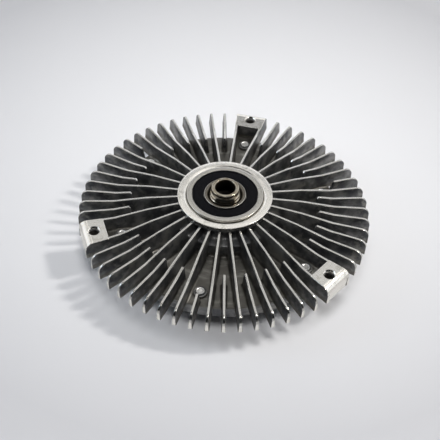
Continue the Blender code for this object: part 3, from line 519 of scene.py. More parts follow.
def ground_steel():
    """Bearing steel, finely ground round the axis: the inner ring's face darkened by painted shade, and its
    bore bevel darker still by painted shade.
    """
    surface = Surface("ground_steel", {"Metallic": 1.0})
    lines = surface.noise(1.0, 2.0, 0.5, surface.polar_place(9.0, 0.3))
    colour = surface.mix(lines, RING_DARK, RING_LIGHT)
    # Painted shade darkens the inner ring inside its rounded outer edge
    inner_ring = surface.radius().ramp(12.6, 12.4)
    colour = surface.mix(inner_ring, colour, INNER_RING_SHADE)
    # Painted shade darkens the bevel of the inner ring's bore
    bore_bevel_shade = surface.radius().ramp(11.0, 10.6)
    colour = surface.mix(bore_bevel_shade, colour, RING_BORE_SHADE)
    return surface.set(Base_Color=colour, Roughness=0.2 + lines * 0.12, Normal=surface.bump(lines, 0.008))


def black_rubber():
    """Moulded black rubber with a little dust."""
    surface = Surface("black_rubber", {"Metallic": 0.0, "Specular IOR Level": 0.06})
    dust = surface.noise(0.8, 4.0, 0.6)
    colour = surface.mix(dust.ramp(0.45, 0.8), BLACK, DUSTY_BLACK)
    return surface.set(Base_Color=colour, Roughness=0.5 + dust * 0.25, Normal=surface.bump(dust, 0.02))


def zinc_steel():
    """Zinc plate, clouded. The mesh mark says where an edge gets a painted highlight."""
    surface = Surface("zinc_steel", {"Metallic": 1.0})
    cloud = surface.noise(0.9, 4.0, 0.6)
    # Painted highlight on the marked edge
    painted_light = surface.attribute("machined").ramp(0.2, 0.8)
    colour = surface.mix(cloud.ramp(0.35, 0.7), ZINC_LIGHT, ZINC_DARK)
    colour = surface.mix(painted_light, colour, ZINC_PAINTED_HIGHLIGHT)
    return surface.set(Base_Color=colour, Roughness=0.24 + cloud * 0.2, Normal=surface.bump(cloud, 0.02))


def plain_metal(name, dark, light, rough):
    """Metal seen only when the clutch is taken apart: two tones, rough spots and a fine grain."""
    surface = Surface(name, {"Metallic": 1.0})
    cloud = surface.noise(0.3, 4.0, 0.6)
    fine = surface.noise(3.0, 2.0, 0.5)
    colour = surface.mix(cloud.ramp(0.3, 0.7), dark, light)
    return surface.set(Base_Color=colour, Roughness=rough + fine * 0.15, Normal=surface.bump(fine, 0.02))


def cage_plastic():
    """Cream moulded plastic."""
    surface = Surface("cage_plastic", {"Metallic": 0.0})
    cloud = surface.noise(0.5, 3.0, 0.5)
    colour = surface.mix(cloud, CREAM_DARK, CREAM_LIGHT)
    return surface.set(Base_Color=colour, Roughness=0.4 + cloud * 0.2, Normal=surface.bump(cloud, 0.02))


ALUMINIUM = cast_aluminium()
TURNED = turned_steel()
GROUND = ground_steel()
RUBBER = black_rubber()
ZINC = zinc_steel()
CAGE = cage_plastic()
ROTOR = plain_metal("rotor_alloy", (0.45, 0.45, 0.44), (0.58, 0.58, 0.57), 0.28)
SHEET = plain_metal("sheet_steel", (0.42, 0.42, 0.41), (0.54, 0.54, 0.53), 0.3)
BIMETAL = plain_metal("bimetal", (0.46, 0.41, 0.33), (0.58, 0.53, 0.44), 0.3)


# Finned housing


def quarter(size, steps=3):
    """Offsets of a rounded end: how far each station lies from the end, and how far its sides draw in."""
    angle = np.linspace(np.pi / 2, 0, steps + 1)
    return size * (1 - np.cos(angle)), size * (1 - np.sin(angle))


def fall_back(size, depth):
    """How far a quarter circle of this size lies back where its end has been passed by this depth."""
    depth = np.clip(depth, 0, size)
    return size - np.sqrt(np.clip(size**2 - depth**2, 0, None))


def blade(r, tip, root, foot, half, flare, lean, edge, cut, end):
    """A thin wall that stands across the sections r. Each section climbs from its foot, past a concave flare
    where the wall leaves the root surface, up the side of half thickness half(r, z), and round a small edge
    to the tip. The other side mirrors it. lean moves a section outwards in proportion to height. cut says how
    far each section's tip is machined, end does so for the outer end face. Returns points and marks."""
    way = np.sign(tip - foot)[:, None]
    column = np.ones_like(r)[:, None]
    bend = np.linspace(np.pi / 2, 0, 5)[None]
    reach = flare[:, None]
    low = root[:, None] + way * reach * (1 - np.sin(bend))
    spread = reach * (1 - np.cos(bend))
    clear = root[:, None] + way * reach
    middle = (clear + tip[:, None] - way * edge) / 2
    round_off = np.linspace(0, np.pi / 2, 3)[None]
    high = tip[:, None] - way * edge * (1 - np.sin(round_off))
    draw_in = edge * (1 - np.cos(round_off)) * column
    z = np.concatenate([foot[:, None], low, middle, high], 1)
    extra = np.concatenate([reach, spread, 0 * column, -draw_in], 1)
    width = np.maximum(half(r[:, None], z) + extra, 0.08)
    out = r[:, None] + lean[:, None] * (z - foot[:, None]) / (tip - foot)[:, None]
    side = np.stack([out, width, z], -1)
    other = np.stack([out, -width, z], -1)[:, ::-1]
    mark = np.zeros(z.shape)
    mark[:, -2:] = cut[:, None]
    mark[-1] = end
    return np.concatenate([side, other], 1), np.concatenate([mark, mark[:, ::-1]], 1)


def fin_top(r):
    """Straight slopes between the knees, then the quarter circle of the outer corner."""
    return np.interp(r, FIN_R, FIN_TOP) - fall_back(FIN_CORNER, r - FIN_R[-1])


def fin_half(r, z):
    """Half thickness: flat sides that part evenly towards the foot."""
    line = FIN_TOP[-1] + (FIN_R[-1] - r) * FIN_SLOPE
    return FIN_HALF + FIN_DRAFT * (line - z)


def fin_root(r):
    """The surface a fin stands on: hub step, floor, land."""
    at = [STEP_R - 0.5, STEP_R + 0.7, RIDGE_R, RIM_R]
    return np.interp(r, at, [STEP_TOP, FLOOR_IN + 0.15, FLOOR_OUT, RIM_TOP])


def fin_stations(start):
    """Radii of a fin's sections, close together at both ends, at the rim, at the knees and in the corner."""
    near, _ = quarter(FIN_END)
    spread = np.arange(start + 1.2, FIN_R[-1] - 0.5, 2.4)
    fixed = np.array([33.4, 34.0, 34.6, 35.2, 36.2, 48.0, 66.0, 68.0, 72.4, 73.0, 73.3, 73.4])
    fixed = fixed[fixed > start + 1.3]
    corner = FIN_R[-1] + FIN_CORNER * np.sin(np.radians([0, 12, 24, 36, 46, 56, 64, 71]))
    end = TIP_R - quarter(TIP_EDGE)[0][::-1]
    return np.unique(np.round(np.concatenate([start + near, spread, fixed, corner, end]), 4))


def fin(start, lean_size, bevel):
    """One fin from its inner end to the tip. Its top and its outer end are machined."""
    r = fin_stations(start)
    lean = lean_size * np.clip(1 - (r - start) / LEAN_REACH, 0, 1)
    top = fin_top(r + lean) - np.clip(start + bevel - r, 0, None)
    root = np.where(r > RIM_R, FOOT + 0.1, fin_root(r))
    foot = np.where(r < STEP_R, FOOT + np.interp(r, [26.5, 33.5], [8.0, 0.0]), FOOT)
    flare = np.interp(r, [RIM_R - 1.1, RIM_R], [1.1, 0.08])
    thicker = fall_back(0.8, NECK_R + 0.8 - r)
    shrink = fall_back(TIP_EDGE, r - TIP_R + TIP_EDGE) + fall_back(FIN_END, start + FIN_END - r)
    change = (thicker - shrink)[:, None]

    def half(a, z):
        return fin_half(a, z) + change

    return blade(r, top, root, foot, half, flare, lean, FIN_EDGE, np.full_like(r, FIN_CUT), 1.0)


def fins(shells):
    """All fins, each turned a hair off its place as castings are."""
    shapes = {
        "long": fin(26.5, 0.0, 0.0),
        "short": fin(SHORT_FIN_R, 0.6, 1.2),
        "boss": fin(BOSS_FIN_R, 2.4, 0.6),
    }
    for k in range(2 * LONG_FINS):
        angle = k * PITCH / 2
        if k % 2 and angle in LUG_ANGLES:
            continue
        kind = "boss" if angle in SCREW_ANGLES else "short" if k % 2 else "long"
        points, mark = shapes[kind]
        wobble = 0.05 * math.sin(k * 12.9898)
        shells.add(spun(points, angle + wobble), wrap_u=False, wrap_v=True, cap_u=True, mark=mark)


def housing_body(shells):
    """The turned body: lip, bore, ceiling over the rotor, joint face, rim, floor, step and neck."""
    bore = BEARING_R + 0.35
    inner = [
        (LIP_R, LIP_TOP, 0.35),
        (bore + 1.5, LIP_TOP, 0.2),
        (bore, LIP_TOP - 0.6, 0.1),
        (bore, BEARING_LOW - 0.3, 0.1),
        (21.0, BEARING_LOW - 0.3, 0.3),
        (21.0, FLOOR_IN, 0.5),
        (27.0, FLOOR_IN, 0.5),
        (31.0, CEILING, 1.0),
    ]
    for land in LANDS:
        inner += [
            (land, CEILING, 0.4),
            (land + 0.1, CEILING - LAND_DEPTH, 0.3),
            (land + 1.7, CEILING - LAND_DEPTH, 0.3),
            (land + 1.8, CEILING, 0.4),
        ]
    outer = [
        (CHAMBER_R, CEILING, 0.5),
        (CHAMBER_R, JOINT, 0.15),
        (RIM_R, JOINT, 0.3),
        (RIM_R, RIM_TOP, 0.4),
        (RIDGE_R, FLOOR_OUT, 1.0),
        (STEP_R, FLOOR_IN, 1.6),
        (STEP_R, STEP_TOP, 0.8),
        (NECK_R, STEP_TOP, 1.6),
        (NECK_R, LIP_UNDER, 0.6),
        (LIP_R, LIP_UNDER, 0.3),
    ]
    outline = rounded(inner + outer)
    r, z = outline.T
    lip = (z > LIP_UNDER + 0.5) & (r > bore - 0.5)
    bored = (r < bore + 0.1) & (z > BEARING_LOW - 1)
    joint = z < JOINT + 0.05
    shells.add(turned(outline), wrap_v=True, mark=(lip | bored | joint).astype(float)[None])


def lug_half_width(r):
    """Half a lug's width: its flanks lie within the two fins beside it."""
    half_pitch = math.radians(PITCH / 2)
    return r * math.tan(half_pitch) + 0.9 / math.cos(half_pitch)


def lug_outline():
    """A lug in plan. Points crowd along both flanks towards the outer face, where the top bends down."""
    inner, outer = lug_half_width(LUG_INNER), lug_half_width(LUG_OUTER)
    corners = [
        (LUG_INNER, -inner, 0.5),
        (LUG_OUTER, -outer, 0.3),
        (LUG_OUTER, outer, 0.3),
        (LUG_INNER, inner, 0.5),
    ]
    outline = rounded(corners, 5)
    sides = np.roll(outline, -1, axis=0) - outline
    even = np.linspace(0, 1, LUG_STEPS, endpoint=False)[:, None]
    crowded = {1: np.sin(even * np.pi / 2), 0: even, -1: 1 - np.cos(even * np.pi / 2)}
    dense = []
    for corner, side in zip(outline, sides):
        way = int(np.sign(side[0])) if abs(side[0]) > 2.0 else 0
        dense.append(corner + side * crowded[way] if np.hypot(*side) > 2.0 else corner[None])
    return np.concatenate(dense)


def lug(shells, degrees):
    """A block round a tapped hole. From the hole's wall each ray runs over the sink and the top to the
    outline, down the side and back below. The top bends down to the outer face on a quarter circle."""
    hole = np.array([LUG_HOLE_AT, 0.0])
    outline = lug_outline()
    ray = outline - hole
    angle = np.arctan2(ray[:, 1], ray[:, 0])
    circle = np.stack([np.cos(angle), np.sin(angle)], -1)
    inward = -ray / np.hypot(*ray.T)[:, None]
    outer_face = (outline[:, 0] > LUG_OUTER - 0.4).astype(float)
    bend_r = LUG_OUTER - LUG_FLAT_END + 0.1
    plans, heights, marks = [], [], []

    def top(along):
        past = np.clip(along - LUG_FLAT_END, 0, bend_r)
        return LUG_TOP - bend_r + np.sqrt(bend_r**2 - past**2)

    def ring(plan, height, mark):
        plans.append(plan)
        heights.append(height + 0 * plan[:, 0])
        marks.append(mark + 0 * plan[:, 0])

    sink_low = LUG_TOP - (LUG_SINK_R - LUG_THREAD_R)
    # The lowest ring of the hole carries painted shade
    ring(hole + circle * (LUG_THREAD_R + 0.4), LUG_UNDER, HOLE_SHADE_MARK)
    for height in np.arange(LUG_UNDER + 0.6, sink_low - 0.2, THREAD_PITCH / 4):
        phase = (height / THREAD_PITCH - angle / (2 * np.pi)) % 1.0
        groove = THREAD_DEPTH * (1 - np.abs(2 * phase - 1))
        # Painted shade: the thread is pale near the top and painted darker further down the hole
        painted_light = np.clip(0.6 - (sink_low - height) * 0.7, HOLE_SHADE_MARK, 1)
        ring(hole + circle * (LUG_THREAD_R - THREAD_DEPTH / 2 + groove)[:, None], height, painted_light)
    ring(hole + circle * (LUG_THREAD_R + 0.2), sink_low + 0.2, 1.0)
    ring(hole + circle * (LUG_SINK_R - 0.1), LUG_TOP - 0.08, 1.0)
    for s in np.linspace(0, 1, LUG_RINGS):
        f = math.sin(s * math.pi / 2)
        plan = (hole + circle * LUG_SINK_R) * (1 - f) + (outline + inward * LUG_EDGE) * f
        ring(plan, top(plan[:, 0]), np.where(plan[:, 0] > LUG_FLAT_END, 1.0, LUG_CUT))
    for a in (0.4, 0.8, 1.2, 1.57):
        plan = outline + inward * LUG_EDGE * (1 - math.sin(a))
        ring(plan, top(plan[:, 0]) - LUG_EDGE * (1 - math.cos(a)), 1.0 if a < 1 else outer_face)
    ring(outline, top(outline[:, 0]) * 0.5 + LUG_UNDER * 0.5, outer_face)
    ring(outline, LUG_UNDER + LUG_EDGE, outer_face)
    ring(outline + inward * LUG_EDGE * 0.3, LUG_UNDER + LUG_EDGE * 0.3, 0.0)
    ring(outline + inward * LUG_EDGE, LUG_UNDER, 0.0)
    grid = np.stack([np.concatenate([p, h[:, None]], 1) for p, h in zip(plans, heights)], 1)
    shells.add(spun(grid, degrees), wrap_v=True, mark=np.stack(marks, 1))


def lug_web(shells, degrees):
    """The plate between the rim and a lug."""
    side = lug_half_width(LUG_INNER) - 1
    corners = [
        (RIM_R - 1.0, -side, 0),
        (LUG_INNER + 1.0, -side, 0),
        (LUG_INNER + 1.0, side, 0),
        (RIM_R - 1.0, side, 0),
    ]
    plate = slab(rounded(corners), LUG_UNDER, RIM_TOP + 0.3, 0.2)
    shells.add(spun(plate, degrees), cap_v=True)


def boss(shells, degrees):
    """A raised ring round a cover screw, slightly tapered, with a soft upper edge."""
    outline = rounded(
        [
            (SCREW_R + 0.25, JOINT + 2.0, 0),
            (SCREW_R + 0.25, BOSS_TOP, 0.2),
            (BOSS_R, BOSS_TOP, 0.7),
            (BOSS_R + 0.3, FOOT - 0.2, 0),
            (BOSS_R + 0.3, JOINT + 2.0, 0),
        ]
    )
    shells.add(turned(outline, 64, polar(SCREW_AT, degrees)), wrap_v=True)


def housing():
    """The rear casting."""
    shells = Shells()
    housing_body(shells)
    fins(shells)
    for degrees in LUG_ANGLES:
        lug(shells, degrees)
        lug_web(shells, degrees)
    for degrees in SCREW_ANGLES:
        boss(shells, degrees)
    shells.piece("housing_casting", "casing", ALUMINIUM, "cast_aluminium", "finned_housing")


# Bearing, shaft and screws


def seal(name, low, high, node):
    """A flat rubber ring: raised rim, shallow groove, thin lip on the inner ring."""
    way = 1.0 if high > low else -1.0
    outline = rounded(
        [
            (13.1, high - way * 0.6, 0.1),
            (13.7, high - way * 0.15, 0.3),
            (14.6, high - way * 0.15, 0.2),
            (15.0, high, 0.2),
            (18.6, high, 0.15),
            (18.8, high - way * 0.25, 0.1),
            (19.3, high - way * 0.25, 0.1),
            (19.5, high - way * 0.05, 0.15),
            (20.0, high - way * 0.05, 0.15),
            (20.0, low, 0.1),
            (13.3, low, 0.1),
        ]
    )
    Shells().add(turned(outline, 128), wrap_v=True).piece(name, "casing", RUBBER, "black_rubber", node)


def groove(land_r):
    """The ball's groove in a ring with a land of this radius, as an outline from below to above."""
    way = 1.0 if land_r > BALL_AT else -1.0
    deep = abs(land_r - BALL_AT)
    swing = np.linspace(-1, 1, 15) * math.atan2(math.sqrt(GROOVE_R**2 - deep**2), deep)
    return np.stack([BALL_AT + way * GROOVE_R * np.cos(swing), BALL_Z + GROOVE_R * np.sin(swing)], -1)


def race(corners, land_r, segments):
    """A bearing ring: its lower half, the same half mirrored above the balls, and the groove between."""
    lower = rounded(corners, closed=False)
    upper = lower[::-1] * (1, -1) + (0, 2 * BALL_Z)
    outline = np.concatenate([lower, upper[1:], groove(land_r)[::-1]])
    return Shells().add(turned(outline, segments), wrap_v=True, mark=1.0)


def bearing():
    """Both rings, the balls and both seals."""
    top, low = BEARING_TOP, BEARING_LOW
    outer = [
        (OUTER_LAND_R, BALL_Z - 4, 0),
        (OUTER_LAND_R, low + 2.1, 0),
        (20.3, low + 2.1, 0),
        (20.3, low, 0.15),
        (23.5, low, 0.5),
        (23.5, BALL_Z, 0),
    ]
    inner = [
        (INNER_LAND_R, BALL_Z - 4, 0),
        (INNER_LAND_R, low + 2.1, 0),
        (12.8, low + 2.1, 0),
        (12.8, low, 0.35),
        (11.3, low, 0.3),
        (10.0, low + 1.1, 0.3),
        (10.0, BALL_Z, 0),
    ]
    made = race(outer, OUTER_LAND_R, 160)
    made.piece("bearing_outer_race", "casing", GROUND, "bearing_steel", "bearing_outer_ring")
    made = race(inner, INNER_LAND_R, 128)
    made.piece("bearing_inner_race", "drive", GROUND, "bearing_steel", "bearing_inner_ring")
    seal("rear_bearing_seal", top - 1.8, top - 0.3, "rear_seal")
    seal("front_bearing_seal", low + 1.8, low + 0.3, "front_seal")
    swing = np.linspace(-np.pi / 2, np.pi / 2, 13)
    outline = np.stack([BALL_R * np.cos(swing), BALL_Z + BALL_R * np.sin(swing)], -1)
    outline[[0, -1], 0] = 0.0
    for number in range(1, 9):
        centre = polar(BALL_AT, (number - 0.5) * 45.0)
        ball = Shells().add(turned(outline, 24, centre))
        ball.piece(f"bearing_ball_{number}", "ball_set", GROUND, "bearing_steel", f"ball_{number}")


def shaft():
    """Nose with a waist and a flared foot, journal, flange, spigot and collar, with a bore and a thread."""
    flare = FOOT + 20.9
    flange_top = BEARING_LOW - 0.3
    collar = SHAFT_LOW + 0.5
    bolt_top = NOSE_TOP - 10.0
    bolt_low = NOSE_TOP - 26.0
    corners = [
        (0, SHAFT_LOW, 0),
        (12.2, SHAFT_LOW, 0.2),
        (12.2, collar, 0.15),
        (11.0, collar, 0.1),
        (11.0, flange_top - 3.4, 0.2),
        (13.0, flange_top - 3.4, 0.3),
        (13.0, flange_top, 0.3),
        (9.64, flange_top, 0.2),
        (9.64, flare - 1.6, 0.1),
        (9.0, flare - 1.0, 0.15),
        (9.1, flare, 0.35),
        (8.3, flare + 0.9, 0.5),
        (7.8, flare + 2.0, 1.2),
        (7.8, NOSE_TOP - 2.3, 0.8),
        (8.4, NOSE_TOP - 1.3, 0.6),
        (8.4, NOSE_TOP, 0.8),
        (NOSE_EDGE_R, NOSE_TOP, 0.3),
        (NOSE_BORE_R, NOSE_TOP - 0.5, 0.2),
        (NOSE_BORE_R, NOSE_TOP - 9.0, 0.1),
        (4.3, bolt_top, 0.1),
        (4.3, bolt_top - 0.4, 0),
    ]
    upper = turned(rounded(corners, 4, closed=False), 96)
    angle = np.linspace(0, 2 * np.pi, 96, endpoint=False)[:, None]
    z = np.linspace(bolt_top - 0.5, bolt_low, 65)[None]
    phase = (z / BOLT_PITCH - angle / (2 * np.pi)) % 1.0
    r = BOLT_THREAD_R + BOLT_THREAD_DEPTH * (1 - np.abs(2 * phase - 1))
    thread = np.stack([r * np.cos(angle), r * np.sin(angle), z + 0 * angle], -1)
    end = turned(np.array([(4.0, bolt_low - 0.1), (0.0, bolt_low - 2.0)]), 96)
    made = Shells().add(np.concatenate([upper, thread, end], 1))
    made.piece("shaft_turned", "drive", TURNED, "turned_steel", "shaft")


def screws():
    """Socket screws: a six-sided socket in the head on the front, a bevelled thread end on the rear."""
    head_top = FLANGE_LOW - 0.3
    head_low = head_top - 3.6
    tip = SCREW_TOP
    segments = 72
    outline = rounded(
        [
            (0.0, head_low + 2.4, 0),
            (2.4, head_low + 2.2, 0),
            (2.4, head_low + 0.25, 0),
            (2.9, head_low, 0.1),
            (SCREW_HEAD_R, head_low, 0.5),
            (SCREW_HEAD_R, head_top, 0.15),
            (SCREW_R, head_top, 0.2),
            (SCREW_R, BOSS_TOP - 1.5, 0),
            (SCREW_R, tip - 0.7, 0.2),
            (SCREW_R - 0.5, tip, 0.3),
            (SCREW_R - 0.9, tip - 0.05, 0.2),
            (SCREW_R - 1.3, tip - 0.3, 0.3),
            (0.0, tip - 0.3, 0),
        ],
        4,
        closed=False,
    )
    socket = (outline[:, 1] < head_low + 2.3) & (outline[:, 0] < 2.5) & (outline[:, 0] > 1)
    # Painted highlight: the bevel round the thread end is marked bright
    painted_light = (outline[:, 1] > tip - 0.7) & (outline[:, 0] > SCREW_R - 1.1)
    angle = np.linspace(0, 2 * np.pi, segments, endpoint=False)
    flat = np.cos(np.pi / 6) / np.cos((angle % (np.pi / 3)) - np.pi / 6)
    for number, degrees in enumerate(SCREW_ANGLES, 1):
        grid = turned(outline, segments)
        grid[:, socket, :2] *= 1.15 * flat[:, None, None]
        grid = spun(grid, degrees * 1.7)
        grid[..., :2] += polar(SCREW_AT, degrees)
        made = Shells().add(grid, mark=painted_light.astype(float)[None])
        made.piece(f"screw_{number}", "casing", ZINC, "zinc_steel", f"cover_screw_{number}")


# Front cover


def cover():
    """The front casting: a stepped round body notched by the screw pockets, its ribs, posts and pin boss."""
    shells = Shells()
    shelf, seat = FOOT - 9.6, FOOT - 11.2
    ledge_r, store_r = 45.9, 43.0
    corners = [
        (0.0, STORE_FLOOR, 0),
        (0.0, DOME, 0),
        (DOME_R, DOME, 1.5),
        (DOME_R + 3.0, COVER_FACE, 1.5),
        (WALL_R, COVER_FACE, 1.0),
        (WALL_R, FLANGE_LOW, 1.0),
        (COVER_R, FLANGE_LOW, 0.6),
        (COVER_R, COVER_TOP, 0.3),
        (60.8, COVER_TOP, 0.1),
        (60.8, COVER_TOP - 1.9, 0.2),
        (58.6, COVER_TOP - 1.9, 0.2),
        (58.6, COVER_TOP, 0.1),
        (CHAMBER_R, COVER_TOP, 0.1),
        (CHAMBER_R, shelf, 0.3),
        (ledge_r, shelf, 0.2),
        (ledge_r, seat, 0.1),
        (store_r, seat, 0.3),
        (store_r, STORE_FLOOR, 0.8),
    ]
    outline = rounded(corners)
    near_screw = np.concatenate([np.linspace(-5.2, 5.2, 27), np.linspace(6.5, 53.5, 20)])
    angle = np.radians(np.concatenate([degrees + near_screw for degrees in SCREW_ANGLES]))[:, None]
    off = np.radians(np.degrees(angle) % 60.0 - 30.0)
    inside = np.clip(POCKET_R**2 - (SCREW_AT * np.sin(off)) ** 2, 0, None)
    pocket = np.where(inside > 0, SCREW_AT * np.cos(off) - np.sqrt(inside), WALL_R)
    out, up = outline.T
    wall = (out > 55) & (out < WALL_R + 0.01) & (up < shelf - 0.1)
    wall |= (up <= FLANGE_LOW + 0.01) & (out <= WALL_R + 1.01) & (out > WALL_R - 0.01)
    r = np.broadcast_to(out, (len(angle), len(out))).copy()
    r[:, wall] = np.minimum(r[:, wall], pocket)
    z = up[None] + 0 * angle
    joint = (up > COVER_TOP - 0.05).astype(float)
    shells.add(np.stack([r * np.cos(angle), r * np.sin(angle), z], -1), wrap_v=True, mark=joint[None])
    ribs(shells)
    posts(shells)
    shells.piece("cover_casting", "casing", ALUMINIUM, "cast_aluminium", "front_cover")


def ribs(shells):
    """Radial ribs under the cover, with rounded ends, that the clutch rests on."""
    near, inset = quarter(0.7)
    r = np.concatenate([RIB_INNER + near, np.arange(39, 62, 2.2), [47.5, 48.6, 50.0, 51.4, 61.2, 61.7, 62.3]])
    r = np.unique(np.round(np.concatenate([r, RIB_OUTER - near[::-1]]), 4))
    corner = 2.2
    tip = fall_back(corner, RIB_INNER + corner - r) + fall_back(corner, r - RIB_OUTER + corner)
    at = [DOME_R, DOME_R + 3.0, WALL_R - 0.3, WALL_R + 0.3]
    root = np.interp(r, at, [DOME, COVER_FACE, COVER_FACE, FLANGE_LOW])
    foot = root + 0.8
    flare = np.full_like(r, 0.9)
    shrink = fall_back(0.7, RIB_INNER + 0.7 - r) + fall_back(0.7, r - RIB_OUTER + 0.7)

    def half(_, z):
        return 0.85 + 0.02 * z - shrink[:, None]

    points, mark = blade(r, tip, root, foot, half, flare, 0 * r, 0.35, 0 * r, 0.0)
    for k in range(RIBS):
        shells.add(spun(points, k * 360 / RIBS), wrap_u=False, wrap_v=True, cap_u=True, mark=mark)


def posts(shells):
    """Two C-shaped posts that hold the strip's ends, and the round boss of the pin."""
    strip_low, strip_top = bottom_of("bimetal_strip"), top_of("bimetal_strip")
    reach = radius_of("bimetal_strip")
    inner = reach - 2.4
    slot_low, slot_high = strip_low - 1.1, strip_top + 0.3
    corners = [
        (inner, 0.4, 0.5),
        (inner + 6.5, 0.4, 1.0),
        (inner + 6.5, DOME + 0.8, 0),
        (inner, DOME + 0.8, 0),
        (inner, slot_high, 0.1),
        (reach + 0.3, slot_high, 0.1),
        (reach + 0.3, slot_low, 0.1),
        (inner, slot_low, 0.1),
    ]
    for turn in (0.0, 180.0):
        grid = slab(rounded(corners), -POST_HALF, POST_HALF, 0.5)
        shells.add(spun(grid[..., [0, 2, 1]], turn), cap_v=True)
    pin_boss = [
        (1.8, DOME + 1.0, 0),
        (1.8, DOME - 0.7, 0.2),
        (6.0, DOME - 0.7, 0.3),
        (6.3, DOME + 1.0, 0),
    ]
    shells.add(turned(rounded(pin_boss), 64), wrap_v=True)


def strip():
    """The bimetal strip: a flat bar with rounded corners and soft edges."""
    low, high = bottom_of("bimetal_strip"), top_of("bimetal_strip")
    reach = radius_of("bimetal_strip")
    corners = [
        (-reach, -STRIP_HALF, 1.5),
        (reach, -STRIP_HALF, 1.5),
        (reach, STRIP_HALF, 1.5),
        (-reach, STRIP_HALF, 1.5),
    ]
    outline = rounded(corners, 5)
    made = Shells().add(slab(outline, low, high, 0.12), cap_v=True)
    made.piece("strip", "thermostat", BIMETAL, "bimetal", "bimetal_strip")


def carried_nodes():
    """CAD nodes that stay as they are get their finish."""
    finishes = {
        "rotor_disc": ROTOR,
        "bearing_cage": CAGE,
        "separator_plate": SHEET,
        "valve_leaf": SHEET,
        "valve_rivet": SHEET,
        "actuator_pin": SHEET,
        "pin_seal": RUBBER,
        "cover_sealing_ring": RUBBER,
    }
    for name, finish in finishes.items():
        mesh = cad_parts[name].data
        mesh.materials.clear()
        mesh.materials.append(finish)


# Studio


def camera():
    """A camera at the photograph's viewing angle."""
    elevation, roll = math.radians(CAMERA_ELEVATION), math.radians(CAMERA_ROLL)
    ahead = Vector((0, math.cos(elevation), -math.sin(elevation)))
    up = Vector((0, math.sin(elevation), math.cos(elevation)))
    right = Vector((1, 0, 0))
    place = -CAMERA_DISTANCE * ahead - CAMERA_ASIDE * right - CAMERA_BELOW * up + Vector((0, 0, FOOT))
    across = math.cos(roll) * right - math.sin(roll) * up
    above = math.sin(roll) * right + math.cos(roll) * up
    turn = Matrix.Rotation(math.radians(CAMERA_TURN), 4, "Z")
    pose = Matrix((across, above, -ahead)).transposed().to_4x4()
    data = bpy.data.cameras.new("camera")
    data.lens = FOCAL
    data.sensor_width = SENSOR
    data.clip_start = 0.01
    made = bpy.data.objects.new("camera", data)
    bpy.context.scene.collection.objects.link(made)
    made.matrix_world = turn @ Matrix.Translation(place * MM) @ pose
    bpy.context.scene.camera = made


def lamp(name, azimuth, elevation, distance, size, power, colour, lights, mirrored):
    """A flat lamp that looks at the clutch. azimuth 0 is the viewer's right, 90 is behind the clutch."""
    data = bpy.data.lights.new(name, "AREA")
    data.shape = "RECTANGLE"
    data.size, data.size_y = size
    data.energy = power
    data.color = colour
    made = bpy.data.objects.new(name, data)
    bpy.context.scene.collection.objects.link(made)
    a, e = math.radians(azimuth + CAMERA_TURN), math.radians(elevation)
    way = Vector((math.cos(e) * math.cos(a), math.cos(e) * math.sin(a), math.sin(e)))
    made.location = way * distance
    made.rotation_euler = way.to_track_quat("Z", "Y").to_euler()
    made.visible_diffuse = lights
    made.visible_glossy = mirrored


def paper():
    """White paper with a painted pool of light: its colour is painted dimmer away from one spot. Its walls
    glow for metal, its far part for a camera.
    """
    surface = Surface("sweep_paper", {"Roughness": 0.6, "Specular IOR Level": 0.2, "Emission Strength": 1.0})
    glossy = surface.node("ShaderNodeLightPath", output="Is Glossy Ray")
    seen = surface.node("ShaderNodeLightPath", output="Is Camera Ray")
    x, y, height = surface.axes()
    aside, along = x - PAINTED_LIGHT_AT[0], y - PAINTED_LIGHT_AT[1]
    far = (aside * aside + along * along) / PAINTED_LIGHT_REACH**2
    wall = height.ramp(10.0, 150.0)
    # Painted falloff of light: the flat paper darkens away from the bright spot
    painted_falloff = far.math("MINIMUM", far, 1.0) * (1.0 - wall)
    colour = surface.mix(painted_falloff, PAPER_PAINTED_LIT, PAPER_PAINTED_DIM)
    glow = surface.mix(wall * glossy, (0, 0, 0), WALL_GLOW)
    glow = surface.mix(surface.radius().ramp(450.0, 1300.0) * seen, glow, FAR_GLOW)
    return surface.set(Base_Color=colour, Emission_Color=glow)


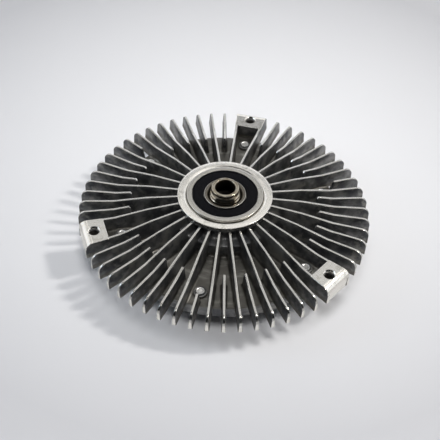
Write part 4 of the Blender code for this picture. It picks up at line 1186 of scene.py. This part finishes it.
def paper_room():
    """Paper that lies flat on the viewer's side and rises on a quarter circle behind and on both sides."""
    bend = np.linspace(0, np.pi / 2, 13)
    r = np.concatenate([[0.05, 0.45], WALL_AT + WALL_BEND * np.sin(bend), [WALL_AT + WALL_BEND]])
    z = np.concatenate([[0, 0], WALL_BEND * (1 - np.cos(bend)), [WALL_TOP]])
    azimuth = np.arange(0, 360, 4)[:, None]
    middle, low, high = OPEN_SIDE
    off = np.abs((azimuth - middle + 180) % 360 - 180)
    rise = np.clip((off - low) / (high - low), 0, 1)
    rise = rise * rise * (3 - 2 * rise)
    out = r[None] * (rise + (1 - rise) * np.where(r > WALL_AT, 3.0, 1.0)[None])
    angle = np.radians(azimuth + CAMERA_TURN)
    grid = np.stack([out * np.cos(angle), out * np.sin(angle), z[None] * rise], -1)
    rows, columns = grid.shape[:2]
    index = np.arange(rows * columns).reshape(rows, columns)
    there = np.roll(index, -1, axis=0)
    corners = [index[:, :-1], index[:, 1:], there[:, 1:], there[:, :-1]]
    faces = np.stack(corners, -1).reshape(-1, 4).tolist()
    mesh = bpy.data.meshes.new("sweep")
    mesh.from_pydata(grid.reshape(-1, 3).tolist(), [], faces + [index[:, 0].tolist()])
    mesh.shade_smooth()
    mesh.materials.append(paper())
    floor = bpy.data.objects.new("sweep", mesh)
    bpy.context.scene.collection.objects.link(floor)


def room_light():
    """A world that gives a dim light from all round, and of which a camera sees only a pale grey."""
    world = bpy.data.worlds.new("room")
    world.use_nodes = True
    tree = world.node_tree
    dim = tree.nodes["Background"]
    dim.inputs["Color"].default_value = ROOM_LIGHT
    dim.inputs["Strength"].default_value = ROOM_STRENGTH
    bright = tree.nodes.new("ShaderNodeBackground")
    bright.inputs["Color"].default_value = ROOM_SEEN
    path = tree.nodes.new("ShaderNodeLightPath")
    mix = tree.nodes.new("ShaderNodeMixShader")
    tree.links.new(path.outputs["Is Camera Ray"], mix.inputs[0])
    tree.links.new(dim.outputs[0], mix.inputs[1])
    tree.links.new(bright.outputs[0], mix.inputs[2])
    tree.links.new(mix.outputs[0], tree.nodes["World Output"].inputs[0])
    bpy.context.scene.world = world


def studio():
    """The paper room with its lamps, dark on the viewer's side."""
    paper_room()
    room_light()
    for values in LAMPS:
        lamp(*values)
    bpy.context.scene.view_settings.view_transform = "Standard"


housing()
bearing()
shaft()
screws()
cover()
strip()
carried_nodes()
camera()
studio()
